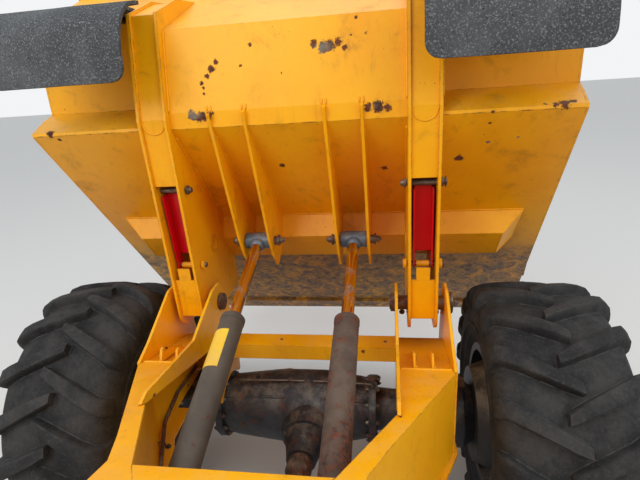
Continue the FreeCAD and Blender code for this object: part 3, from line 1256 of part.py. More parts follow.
def steer_ram():
    """The steering ram's barrel with its bored eye, and its rod with a plain eye."""
    tube = revolve("steer_tube", "Y", (
        ("22", "0"), ("22", "steer_barrel"), ("steer_gland", "steer_barrel"),
        ("steer_gland", "steer_rod + pin_gap"), ("steer_gland - 28", "steer_rod + pin_gap"),
        ("steer_gland - 28", "steer_barrel - 6"), ("46", "steer_barrel - 6"), ("46", "0")))
    eye = rod("steer_base_eye", "Z", 0, 0, "-28", "steer_barrel - 2", "56")
    bore = rod("steer_base_bore", "Z", 0, 0, "-60", "steer_pin + pin_gap", "120")
    barrel = cut("steer_barrel_bored", fuse("steer_barrel_solid", [tube, eye]), [bore])
    piston = "(%s) - steer_rod_long" % STEER_LONG
    bar = revolve("steer_bar", "Y", (
        (piston, "0"), (piston, "steer_barrel - 6.4"), (piston + " + 30", "steer_barrel - 6.4"),
        (piston + " + 30", "steer_rod"), (STEER_LONG, "steer_rod"), (STEER_LONG, "0")))
    rod_eye = rod("steer_rod_eye", "Z", 0, STEER_LONG, "-28", "steer_barrel - 4", "56")
    return barrel, fuse("steer_rod_whole", [bar, rod_eye])


for kind, shape in zip(("barrel", "rod"), steer_ram()):
    name = "steering_ram_" + kind
    copy = group("set_" + name, [shape])
    turn(copy, (0, 0, -1), "atan2(%s; %s)" % STEER_RUN)
    node(name, put(copy, "steer_anchor_out", "-steer_anchor_back", "steer_up"))

node("steering_base_pin", rod("steer_base_pin", "Z", "steer_anchor_out", "-steer_anchor_back",
                              "steer_up - 60", "steer_pin", "120"))


def pipe(name, points, radius, bend):
    """A round pipe through points (X, Y, Z) with an arc at each turn."""
    spots = [V(*[value(c) for c in p]) for p in points]
    edges = []
    last = spots[0]
    for i in range(1, len(spots) - 1):
        here = spots[i]
        back, ahead = (spots[i - 1] - here).normalize(), (spots[i + 1] - here).normalize()
        half = back.getAngle(ahead) / 2
        reach = bend / math.tan(half)
        first, second = here + back * reach, here + ahead * reach
        middle = here + (back + ahead).normalize() * (bend / math.sin(half) - bend)
        edges.append(Part.LineSegment(last, first).toShape())
        edges.append(Part.Arc(first, middle, second).toShape())
        last = second
    edges.append(Part.LineSegment(last, spots[-1]).toShape())
    way = spots[1] - spots[0]
    ring = Part.Wire([Part.makeCircle(radius, spots[0], way)])
    out = doc.addObject("Part::Feature", name)
    out.Shape = Part.Wire(edges).makePipeShell([ring], True, True)
    return out


def pipes():
    """Brake pipes along the front axle and the line clipped to the left rail."""
    up = "tyre_radius + casing_radius + 7"
    made = []
    for side_sign, end, low in (("", "casing_right + 15", "146.5"), ("-", "casing_left - 70", "137.1")):
        route = (("20", "-40", up), ("100", "-40", up), (end, "-40", "tyre_radius + casing_radius"),
                 (end, "-40", "tyre_radius + " + low))
        made.append(pipe("brake_pipe%d" % len(made),
                         [("%s(%s)" % (side_sign, x), y, z) for x, y, z in route], 5, 12))
    made.append(pipe("rail_line", (("-fork_out + 20.5", "60", "rail_low + 45"),
                                   ("-fork_out + 20.5", "-150", "rail_low + 62"),
                                   ("-fork_out + 23", "-300", "rail_low + 28"),
                                   ("-493", "-515", "rail_low + 20"), ("-336", "-838", "rail_low + 20"),
                                   ("-rail_end + 23.6", "-945", "rail_low + 20"),
                                   ("-rail_end + 23.6", "-1060", "rail_low + 20")), 8, 60))
    return made


node("hydraulic_pipes", group("pipe_set", pipes()))


def exhaust():
    """The exhaust: a pipe from the engine, a silencer beside the roll bar post, and a tailpipe."""
    low = pipe("exhaust_pipe", (("-250", "-wheelbase - 60", "905"), ("-420", "-wheelbase - 60", "905"),
                                ("-590", "-2400", "905"), ("-590", "-2400", "1320")), 28, 70)
    box = rod("silencer", "Z", "-590", "-2400", "1300", "55", "420")
    tail = rod("tailpipe", "Z", "-590", "-2400", "1700", "30", "430")
    clamp = block("silencer_clamp", "-560", "-2360", "1500", "560 - bar_half - bar_tube", "60", "40")
    return fuse("exhaust_whole", [low, box, tail, clamp])


node("exhaust", exhaust())

doc.recompute()

bad = []
for obj in doc.Objects:
    if "Invalid" in obj.State or "Error" in obj.State:
        bad.append(obj.Name)
for obj in NODES:
    shape = obj.Shape
    if shape.isNull() or not shape.isValid() or not shape.Solids:
        bad.append(obj.Label)
if bad:
    raise SystemExit("not valid: " + ", ".join(bad))
os.makedirs("parts", exist_ok=True)
for obj in NODES:
    obj.Shape.exportStep(os.path.join("parts", obj.Label + ".step"))
print(len(NODES), "nodes written")
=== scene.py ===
# %% [markdown]
# A site dumper with its skip tipped forward, seen from the driver's place.
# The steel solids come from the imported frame. This script gives every one of them its
# worn finish and adds what plain solids leave out: treads, welds, bolts, rubber and cushions.

# %% Frame and the libraries used
import bmesh
import bpy
import json
import math
import random
from mathutils import Matrix, Vector


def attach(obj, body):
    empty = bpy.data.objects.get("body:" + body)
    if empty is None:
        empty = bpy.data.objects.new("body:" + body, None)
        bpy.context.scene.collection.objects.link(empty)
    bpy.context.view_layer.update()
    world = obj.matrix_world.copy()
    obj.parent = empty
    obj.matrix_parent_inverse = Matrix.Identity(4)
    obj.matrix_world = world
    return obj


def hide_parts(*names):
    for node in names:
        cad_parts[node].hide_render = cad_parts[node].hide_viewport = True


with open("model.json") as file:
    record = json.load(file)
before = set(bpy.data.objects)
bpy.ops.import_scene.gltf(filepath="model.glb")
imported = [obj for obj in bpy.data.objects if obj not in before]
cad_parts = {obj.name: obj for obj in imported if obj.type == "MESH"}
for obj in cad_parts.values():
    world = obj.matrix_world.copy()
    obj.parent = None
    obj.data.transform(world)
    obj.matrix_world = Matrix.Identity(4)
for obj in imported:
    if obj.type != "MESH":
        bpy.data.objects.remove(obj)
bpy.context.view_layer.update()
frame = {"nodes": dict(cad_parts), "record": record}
NODES = frame["nodes"]
BODY_OF = {n: b for b, names in frame["record"]["behaviour"]["bodies"].items() for n in names}

# %% [markdown]
# Most sizes are read off the machine from its front axle, and the skip's own from its hinge
# while it lies level. Two short functions turn either kind into the shared frame, in metres,
# so each later number can be compared with the real machine.

# %% Where things are
AXLE_AHEAD = 1.197737
PIVOT_AHEAD, PIVOT_UP = 0.030, 1.125
TIP = math.radians(80)


def at(x, y, z):
    """A point in millimetres: from the centre line, from the front axle, from the ground."""
    return Vector((x / 1000, y / 1000 + AXLE_AHEAD, z / 1000))


def on_skip(x, y, z):
    """A point of the level skip in millimetres from its hinge, where it is with the skip tipped."""
    y, z = y / 1000, z / 1000
    return Vector((x / 1000,
                   y * math.cos(TIP) + z * math.sin(TIP) + PIVOT_AHEAD + AXLE_AHEAD,
                   -y * math.sin(TIP) + z * math.cos(TIP) + PIVOT_UP))


# %% [markdown]
# A finish is a small network of shader nodes. The networks below share a few building blocks:
# noise that is read in the object's own space, a ramp that turns it into patches, and a mix
# that lays one colour over another. They are written once, as functions.

# %% Building blocks for the finishes


def rgb(red, green, blue):
    """A colour as a screen shows it, 0 to 255, in the linear numbers that shaders use."""
    def linear(c):
        c /= 255
        return c / 12.92 if c <= 0.04045 else ((c + 0.055) / 1.055) ** 2.4
    return linear(red), linear(green), linear(blue), 1.0


class Finish:
    """One material while it is being put together."""

    def __init__(self, name):
        self.material = bpy.data.materials.new(name)
        self.material.use_nodes = True
        self.tree = self.material.node_tree
        self.tree.nodes.clear()
        self.output = self.add("ShaderNodeOutputMaterial")
        self.shader = self.add("ShaderNodeBsdfPrincipled")
        self.join(self.shader.outputs[0], self.output.inputs[0])
        self.place = self.add("ShaderNodeTexCoord").outputs["Object"]
        self.bumps = []

    def add(self, kind):
        return self.tree.nodes.new(kind)

    def join(self, source, target):
        self.tree.links.new(source, target)

    def feed(self, socket, source):
        """Gives a socket a number, a colour or another node's output."""
        if isinstance(source, bpy.types.NodeSocket):
            self.join(source, socket)
        else:
            socket.default_value = source

    def set(self, **sockets):
        """Sets the shader's own sockets: base_color=..., roughness=..."""
        for name, source in sockets.items():
            self.feed(self.shader.inputs[name.replace("_", " ").title().replace("Ior", "IOR")], source)
        return self

    def stretch(self, x, y, z, turn=(0, 0, 0)):
        """The object's space, stretched by a factor along each axis."""
        mapping = self.add("ShaderNodeMapping")
        self.join(self.place, mapping.inputs["Vector"])
        mapping.inputs["Scale"].default_value = (x, y, z)
        mapping.inputs["Rotation"].default_value = [math.radians(a) for a in turn]
        return mapping.outputs[0]

    def noise(self, scale, detail=4.0, rough=0.55, space=None, warp=0.0):
        texture = self.add("ShaderNodeTexNoise")
        self.join(space or self.place, texture.inputs["Vector"])
        texture.inputs["Scale"].default_value = scale
        texture.inputs["Detail"].default_value = detail
        texture.inputs["Roughness"].default_value = rough
        texture.inputs["Distortion"].default_value = warp
        return texture.outputs[0]

    def cells(self, scale, feature="F1", space=None):
        texture = self.add("ShaderNodeTexVoronoi")
        texture.feature = feature
        self.join(space or self.place, texture.inputs["Vector"])
        texture.inputs["Scale"].default_value = scale
        return texture.outputs[0]

    def ramp(self, source, low, high, start=0.0, end=1.0):
        """Start below 'low', end above 'high', a smooth change between."""
        node = self.add("ShaderNodeMapRange")
        node.interpolation_type = "SMOOTHSTEP"
        self.join(source, node.inputs["Value"])
        for name, number in zip(("From Min", "From Max", "To Min", "To Max"), (low, high, start, end)):
            node.inputs[name].default_value = number
        return node.outputs[0]

    def math(self, operation, a, b=0.5):
        node = self.add("ShaderNodeMath")
        node.operation = operation
        self.feed(node.inputs[0], a)
        self.feed(node.inputs[1], b)
        return node.outputs[0]

    def mix(self, share, below, above):
        """'above' laid over 'below', by a share from 0 to 1."""
        node = self.add("ShaderNodeMix")
        node.data_type = "RGBA"
        self.feed(node.inputs[0], share)
        self.feed(node.inputs[6], below)
        self.feed(node.inputs[7], above)
        return node.outputs[2]

    def between(self, share, below, above):
        node = self.add("ShaderNodeMix")
        self.feed(node.inputs[0], share)
        self.feed(node.inputs[2], below)
        self.feed(node.inputs[3], above)
        return node.outputs[0]

    def worn_edge(self, radius, low=0.03, high=0.12):
        """1 on sharp outside and inside edges: where a rounded normal leaves the true one."""
        rounded = self.add("ShaderNodeBevel")
        rounded.samples = 4
        rounded.inputs["Radius"].default_value = radius
        true = self.add("ShaderNodeNewGeometry")
        dot = self.add("ShaderNodeVectorMath")
        dot.operation = "DOT_PRODUCT"
        self.join(rounded.outputs[0], dot.inputs[0])
        self.join(true.outputs["Normal"], dot.inputs[1])
        return self.ramp(dot.outputs["Value"], 1 - high, 1 - low, 1.0, 0.0)

    def facing_up(self, low=0.35, high=0.95):
        """1 where the surface looks up while the machine stands."""
        split = self.add("ShaderNodeSeparateXYZ")
        self.join(self.add("ShaderNodeTexCoord").outputs["Normal"], split.inputs[0])
        return self.ramp(split.outputs[2], low, high)

    def height(self):
        split = self.add("ShaderNodeSeparateXYZ")
        self.join(self.place, split.inputs[0])
        return split.outputs[2]

    def spot(self, x, y, z, radius, ragged=1.7):
        """1 inside a ragged patch round a point of the shared frame."""
        reach = self.add("ShaderNodeVectorMath")
        reach.operation = "DISTANCE"
        self.join(self.place, reach.inputs[0])
        reach.inputs[1].default_value = (x, y, z)
        wobble = self.math("MULTIPLY", self.ragged, radius * ragged * 2)
        far = self.math("ADD", reach.outputs["Value"], wobble)
        return self.ramp(far, radius * (0.65 + ragged), radius * (0.95 + ragged), 1.0, 0.0)

    def bump(self, source, strength, distance=0.002):
        self.bumps.append((source, strength, distance))

    def done(self, rounding=0.0):
        """Joins the bumps, and a small rounding of the edges, to the shader."""
        before = None
        if rounding:
            rounded = self.add("ShaderNodeBevel")
            rounded.samples = 4
            rounded.inputs["Radius"].default_value = rounding
            before = rounded.outputs[0]
        for source, strength, distance in self.bumps:
            node = self.add("ShaderNodeBump")
            node.inputs["Strength"].default_value = strength
            node.inputs["Distance"].default_value = distance
            self.join(source, node.inputs["Height"])
            if before:
                self.join(before, node.inputs["Normal"])
            before = node.outputs[0]
        if before:
            self.join(before, self.shader.inputs["Normal"])
        return self.material


# %% [markdown]
# The paint is an amber yellow with a slightly chalky gloss. On the real machine it is never one
# colour: it bleaches in broad clouds, carries brown grime in the corners, is chipped down to
# grey primer and rust on its edges, and collects pale dust on top. Each of those is a layer.

# %% Paint
YELLOW, DEEP_YELLOW = rgb(250, 178, 6), rgb(240, 160, 2)
RUST, DARK_RUST = rgb(112, 58, 34), rgb(62, 40, 36)
PRIMER = rgb(120, 112, 100)
DUST = rgb(186, 172, 150)
GRIME = rgb(120, 72, 18)


def paint(name, light, deep, grime=0.4, chips=0.5, edges=0.6, dust=0.4, spots=(), gloss=0.4, low_dirt=None, grain=23):
    """Old machine paint, in layers from the paint up to the dust."""
    f = Finish(name)
    colour = f.mix(f.ramp(f.noise(1.7, 5, 0.6), 0.36, 0.66), light, deep)
    fine = f.noise(38, 6, 0.7)
    colour = f.mix(f.ramp(fine, 0.4, 0.8, 0.0, 0.25), colour, deep)
    cloud = f.noise(6.5, 8, 0.72, warp=0.4)
    grimy = f.ramp(cloud, 0.52, 0.74, 0.0, grime)
    colour = f.mix(grimy, colour, GRIME)
    streak = f.noise(3.0, 5, 0.65, space=f.stretch(9, 9, 0.8))
    colour = f.mix(f.ramp(streak, 0.56, 0.78, 0.0, grime * 0.7), colour, GRIME)
    f.ragged = f.noise(48, 7, 0.8, warp=0.5)
    speck = f.ramp(f.noise(95, 3, 0.6), 0.70, 0.735)
    speck = f.math("MULTIPLY", speck, f.ramp(f.noise(4.3, 3, 0.6), 0.42, 0.62, 0.0, chips))
    scratch = f.ramp(f.noise(5, 6, 0.8, space=f.stretch(34, 2, 3.5, (20, 32, 14))), 0.705, 0.725)
    scratch = f.math("MULTIPLY", scratch, f.ramp(f.noise(2.1, 2, 0.5), 0.48, 0.6, 0.0, chips))
    edge = f.math("MULTIPLY", f.worn_edge(0.005), f.ramp(f.noise(grain, 6, 0.75), 0.60 - 0.22 * edges, 0.70))
    bare = f.math("MAXIMUM", f.math("MAXIMUM", speck, scratch), edge)
    for x, y, z, radius in spots:
        bare = f.math("MAXIMUM", bare, f.spot(x, y, z, radius))
    metal = f.mix(f.ramp(f.noise(31, 6, 0.7), 0.38, 0.62), RUST, DARK_RUST)
    metal = f.mix(f.ramp(f.noise(11, 3, 0.5), 0.55, 0.68), metal, PRIMER)
    colour = f.mix(bare, colour, metal)
    if low_dirt:
        dirt = f.ramp(f.height(), low_dirt[1], low_dirt[0])
        dirt = f.math("MULTIPLY", dirt, f.ramp(f.noise(14, 8, 0.75, warp=0.8), 0.30, 0.62))
        colour = f.mix(dirt, colour, f.mix(f.ramp(fine, 0.4, 0.6), rgb(92, 58, 36), rgb(134, 108, 78)))
    dusty = f.math("MULTIPLY", f.facing_up(), f.ramp(f.noise(9, 7, 0.7), 0.38, 0.68, 0.0, dust))
    colour = f.mix(dusty, colour, DUST)
    rough = f.between(grimy, gloss, 0.62)
    rough = f.between(f.math("MAXIMUM", bare, dusty), rough, 0.86)
    f.set(base_color=colour, roughness=rough, specular_ior_level=0.32)
    f.bump(f.noise(420, 2, 0.5), 0.05, 0.0006)
    f.bump(f.noise(5.5, 3, 0.5), 0.12, 0.006)
    f.bump(bare, 0.35, -0.0008)
    return f.done(rounding=0.0025)


# Rust and rubbed patches of the skip: across, ahead of the front axle, above the ground, radius (mm)
SKIP_MARKS = (
    (-297, -15, 2040, 9), (-302, -12, 2056, 12), (-284, -6, 2078, 15), (-262, 6, 2100, 17), (-246, 10, 2122, 12),
    (-297, -15, 2016, 7), (-153, 6, 2103, 8), (-112, 26, 2170, 9), (-61, 46, 2271, 7), (50, 45, 2265, 5),
    (118, 16, 2158, 17), (150, 14, 2144, 26), (176, 14, 2150, 24), (204, 16, 2158, 17), (228, 16, 2136, 11),
    (250, 30, 2176, 10), (300, 30, 2178, 9), (269, 36, 2231, 6), (-1, -2, 2069, 5),
    (-350, -34, 1944, 20), (-315, -34, 1939, 24), (-282, -34, 1940, 18), (304, -34, 1938, 18),
    (339, -34, 1937, 25), (373, -35, 1934, 18), (-330, -68, 1947, 14), (350, -66, 1940, 16),
    (895, -21, 1912, 10), (928, -25, 1910, 15), (956, -22, 1911, 24), (984, -11, 1915, 16),
    (-953, -29, 1909, 20), (-924, -20, 1879, 9), (726, -35, 1897, 7), (725, -1, 1856, 7), (836, 51, 1794, 7),
    (735, 64, 1778, 9), (716, 40, 1812, 6), (640, 120, 1712, 20), (-60, 120, 1712, 14), (352, 150, 1680, 16),
)
SKIP_SPOTS = [(x / 1000, y / 1000 + AXLE_AHEAD, z / 1000, r / 1000) for x, y, z, r in SKIP_MARKS]
SKIP_PAINT = paint("skip_paint", YELLOW, DEEP_YELLOW, grime=0.4, chips=1.0, edges=0.7, spots=SKIP_SPOTS,
                   low_dirt=(1.06, 1.22), dust=0.1)
ARM_PAINT = paint("arm_paint", YELLOW, DEEP_YELLOW, grime=0.35, chips=1.0, edges=1.25, spots=SKIP_SPOTS[:2],
                  dust=0.1, grain=60)
FRAME_MARKS = ((-458, -745, 1104, 20), (-419, -747, 1104, 24), (-380, -751, 1104, 20), (290, -745, 1104, 18),
               (334, -749, 1104, 24), (377, -750, 1104, 20), (-330, 0, 941, 12), (120, 10, 941, 14),
               (345, 8, 941, 10), (-120, 14, 941, 9), (250, -36, 920, 12), (-505, -270, 1085, 20),
               (-520, -235, 1075, 16), (-390, -600, 1130, 10))
FRAME_SPOTS = [(x / 1000, y / 1000 + AXLE_AHEAD, z / 1000, r / 1000) for x, y, z, r in FRAME_MARKS]
FRAME_PAINT = paint("frame_paint", rgb(250, 182, 10), rgb(242, 164, 4), grime=0.3, chips=1.0, edges=1.1,
                    dust=0.12, grain=34, spots=FRAME_SPOTS)
REAR_PAINT = paint("rear_paint", rgb(250, 180, 10), rgb(242, 164, 4), grime=0.22, chips=0.35, edges=0.35,
                   dust=0.3)
RED_PAINT = paint("red_paint", rgb(236, 20, 34), rgb(206, 12, 26), grime=0.05, chips=0.25, edges=0.5,
                  dust=0.1, gloss=0.25)
PATCH_YELLOW = paint("patch_yellow", rgb(250, 208, 62), rgb(236, 186, 40), grime=0.2, chips=0.15, edges=0.1,
                     dust=0.2)
BLANK_WHITE = paint("blank_white", rgb(206, 206, 200), rgb(190, 190, 184), grime=0.1, chips=0.1, edges=0.2,
                    dust=0.2)
GREY_PAINT = paint("grey_paint", rgb(62, 62, 64), rgb(46, 46, 48), grime=0.2, chips=0.3, edges=0.4,
                   dust=0.6, gloss=0.5)

# %% [markdown]
# Bare and oily iron: the axle casing is blue-black with rust breaking through, the ram barrels
# are painted dark and rust from the weather side, and the rods are hard chrome.

# %% Iron, rust and chrome


def iron(name, base, other, rust=0.5, rough=0.6, metal=0.3, dust=0.3, grain=1.0):
    f = Finish(name)
    colour = f.mix(f.ramp(f.noise(7, 6, 0.65), 0.4, 0.62), base, other)
    rusty = f.ramp(f.noise(13, 8, 0.75, warp=0.6), 0.62 - 0.3 * rust, 0.74 - 0.22 * rust)
    rust_colour = f.mix(f.ramp(f.noise(60, 5, 0.7), 0.42, 0.6), RUST, DARK_RUST)
    colour = f.mix(rusty, colour, rust_colour)
    dusty = f.math("MULTIPLY", f.facing_up(0.2, 0.9), f.ramp(f.noise(12, 7, 0.7), 0.4, 0.66, 0.0, dust))
    colour = f.mix(dusty, colour, DUST)
    f.set(base_color=colour, roughness=f.between(rusty, rough, 0.92),
          metallic=f.between(f.math("MAXIMUM", rusty, dusty), metal, 0.0))
    f.bump(f.noise(140, 5, 0.7), 0.25 * grain, 0.0014)
    f.bump(f.noise(26, 4, 0.6), 0.2 * grain, 0.003)
    return f.done(rounding=0.002)


def chrome(name, tint):
    f = Finish(name)
    grime = f.ramp(f.noise(16, 6, 0.7, space=f.stretch(1, 1, 0.3)), 0.5, 0.7)
    f.set(base_color=f.mix(grime, tint, rgb(120, 84, 46)), metallic=f.between(grime, 1.0, 0.5),
          roughness=f.between(grime, 0.12, 0.5))
    f.bump(f.noise(160, 2, 0.5, space=f.stretch(0.2, 0.2, 2)), 0.04, 0.0003)
    return f.done()


AXLE_IRON = iron("axle_iron", rgb(64, 66, 72), rgb(44, 44, 48), rust=0.36, rough=0.5, dust=0.3, grain=1.6)
RUSTY_BARREL = iron("rusty_barrel", rgb(96, 80, 68), rgb(78, 64, 54), rust=0.55, rough=0.8, metal=0.0, dust=0.0,
                    grain=1.3)
SMOOTH_BARREL = iron("smooth_barrel", rgb(84, 75, 64), rgb(72, 64, 55), rust=0.06, rough=0.6, metal=0.0,
                     dust=0.0, grain=0.5)
PIN_STEEL = iron("pin_steel", rgb(122, 112, 100), rgb(92, 80, 68), rust=0.5, rough=0.45, metal=0.7)
BOSS_BLUE = iron("boss_blue", rgb(92, 106, 118), rgb(72, 84, 96), rust=0.12, rough=0.42, metal=0.2)
BLACK_IRON = iron("black_iron", rgb(34, 34, 36), rgb(24, 24, 26), rust=0.2, rough=0.55, dust=0.4)
SHAFT_IRON = iron("shaft_iron", rgb(70, 58, 50), rgb(50, 42, 38), rust=0.75, rough=0.8, dust=0.4, grain=1.6)
CHROME = chrome("rod_chrome", rgb(214, 200, 184))

# %% [markdown]
# Rubber: the tyres are worn black with dry dust in their pores and on their flanks, and the
# flaps over the wheels are cut from speckled matting.

# %% Rubber and plastic


def rubber(name, base, dusted, dust=0.5, rough=0.82, pores=90):
    f = Finish(name)
    patchy = f.ramp(f.noise(6, 8, 0.72), 0.38, 0.66, 0.0, dust)
    colour = f.mix(patchy, base, dusted)
    fine = f.ramp(f.noise(pores, 6, 0.8), 0.50, 0.68, 0.0, dust)
    colour = f.mix(fine, colour, dusted)
    edge = f.math("MULTIPLY", f.worn_edge(0.008), f.ramp(f.noise(18, 5, 0.7), 0.4, 0.6, 0.0, 0.5))
    colour = f.mix(edge, colour, rgb(92, 90, 88))
    f.set(base_color=colour, roughness=rough, specular_ior_level=0.3)
    f.bump(f.noise(pores * 2.2, 4, 0.7), 0.3, 0.0009)
    f.bump(f.noise(22, 5, 0.7), 0.25, 0.003)
    return f.done(rounding=0.004)


def matting(name):
    """Charcoal rubber crumb pressed into a mat, with dense pale specks."""
    f = Finish(name)
    base = f.mix(f.ramp(f.noise(5, 5, 0.6), 0.4, 0.65), rgb(66, 68, 70), rgb(84, 86, 88))
    specks = f.ramp(f.noise(170, 4, 0.75), 0.53, 0.62)
    colour = f.mix(specks, base, rgb(122, 124, 126))
    pits = f.ramp(f.noise(130, 3, 0.7), 0.60, 0.70)
    colour = f.mix(pits, colour, rgb(34, 35, 37))
    f.set(base_color=colour, roughness=0.93, specular_ior_level=0.25)
    f.bump(f.noise(150, 5, 0.8), 0.6, 0.0016)
    f.bump(f.noise(30, 3, 0.6), 0.2, 0.003)
    return f.done(rounding=0.003)


TYRE_RUBBER = rubber("tyre_rubber", rgb(32, 33, 35), rgb(84, 81, 78), dust=0.4)
FLAP_RUBBER = matting("flap_matting")
BLACK_RUBBER = rubber("black_rubber", rgb(30, 30, 32), rgb(80, 76, 70), dust=0.3)


def plastic(name, base, worn, rough=0.5, grain=260):
    f = Finish(name)
    f.set(base_color=f.mix(f.ramp(f.noise(8, 5, 0.6), 0.4, 0.7, 0.0, 0.6), base, worn),
          roughness=f.ramp(f.noise(20, 4, 0.6), 0.3, 0.7, rough - 0.08, rough + 0.14))
    f.bump(f.noise(grain, 2, 0.5), 0.16, 0.0006)
    return f.done(rounding=0.003)


def vinyl(name):
    """Seat vinyl with a fine leather-like grain and a rubbed sheen."""
    f = Finish(name)
    grain = f.cells(330, "F1")
    f.set(base_color=f.mix(f.ramp(f.noise(5, 5, 0.6), 0.42, 0.7), rgb(32, 32, 34), rgb(48, 47, 46)),
          roughness=f.ramp(f.noise(9, 4, 0.6), 0.35, 0.7, 0.42, 0.6))
    f.bump(grain, 0.35, 0.0008)
    f.bump(f.noise(16, 4, 0.6), 0.18, 0.003)
    return f.done()


BLACK_PLASTIC = plastic("black_plastic", rgb(30, 31, 33), rgb(52, 52, 54))
SEAT_VINYL = vinyl("seat_vinyl")


def lens(name, colour):
    f = Finish(name)
    f.set(base_color=colour, roughness=0.08, transmission_weight=0.4, ior=1.49)
    f.bump(f.cells(140, "F1"), 0.4, 0.002)
    return f.done()


CLEAR_LENS = lens("clear_lens", rgb(226, 230, 232))
RED_LENS = lens("red_lens", rgb(190, 20, 16))
AMBER_LENS = lens("amber_lens", rgb(240, 130, 10))

# %% [markdown]
# Every node of the frame now gets its finish from one table, so nothing is left in plain grey.

# %% Finishes for the frame's own pieces
DRESS = (
    (SKIP_PAINT, ("skip_floor", "skip_rear_wall", "skip_wheel_recesses", "skip_sides", "skip_rim",
                  "skip_lip", "skip_beam", "skip_ribs")),
    (ARM_PAINT, ("skip_arms",)),
    (FRAME_PAINT, ("front_side_frames", "front_cross_members")),
    (REAR_PAINT, ("rear_frame", "platform", "rear_mudguards", "engine_hood", "roll_bar_posts",
                  "roll_bar_hoop", "console")),
    (RED_PAINT, ("skip_prop_left", "skip_prop_right")),
    (SMOOTH_BARREL, ("tip_ram_barrel_left",)),
    (GREY_PAINT, ("steering_ram_barrel", "front_wheel_left", "front_wheel_right",
                  "rear_wheel_left", "rear_wheel_right", "side_tanks", "counterweight")),
    (RUSTY_BARREL, ("tip_ram_barrel_right",)),
    (CHROME, ("tip_ram_rod_left", "tip_ram_rod_right", "steering_ram_rod")),
    (PIN_STEEL, ("hinge_pins", "joint_pins", "skip_pins", "steering_base_pin", "hydraulic_pipes")),
    (AXLE_IRON, ("front_axle", "rear_axle")),
    (SHAFT_IRON, ("front_propshaft", "rear_propshaft")),
    (BLACK_IRON, ("engine_block", "exhaust")),
    (TYRE_RUBBER, ("front_tyre_left", "front_tyre_right", "rear_tyre_left", "rear_tyre_right")),
    (FLAP_RUBBER, ("skip_flaps",)),
    (SEAT_VINYL, ("seat",)),
    (BLACK_PLASTIC, ("steering_wheel",)),
    (CLEAR_LENS, ("lamps",)),
)
dressed = set()
for material, names in DRESS:
    for name in names:
        NODES[name].data.materials.clear()
        NODES[name].data.materials.append(material)
        dressed.add(name)
print("not dressed:", sorted(set(NODES) - dressed))

# %% [markdown]
# The pieces that follow are built point by point. A shape is a row of rings joined into one
# closed skin: a ring swept along a path makes a pipe or a weld, a ring turned about an axis
# makes a washer or a lens. Six sides and a bevelled end make a nut.

# %% Tools for building meshes
random.seed(7)


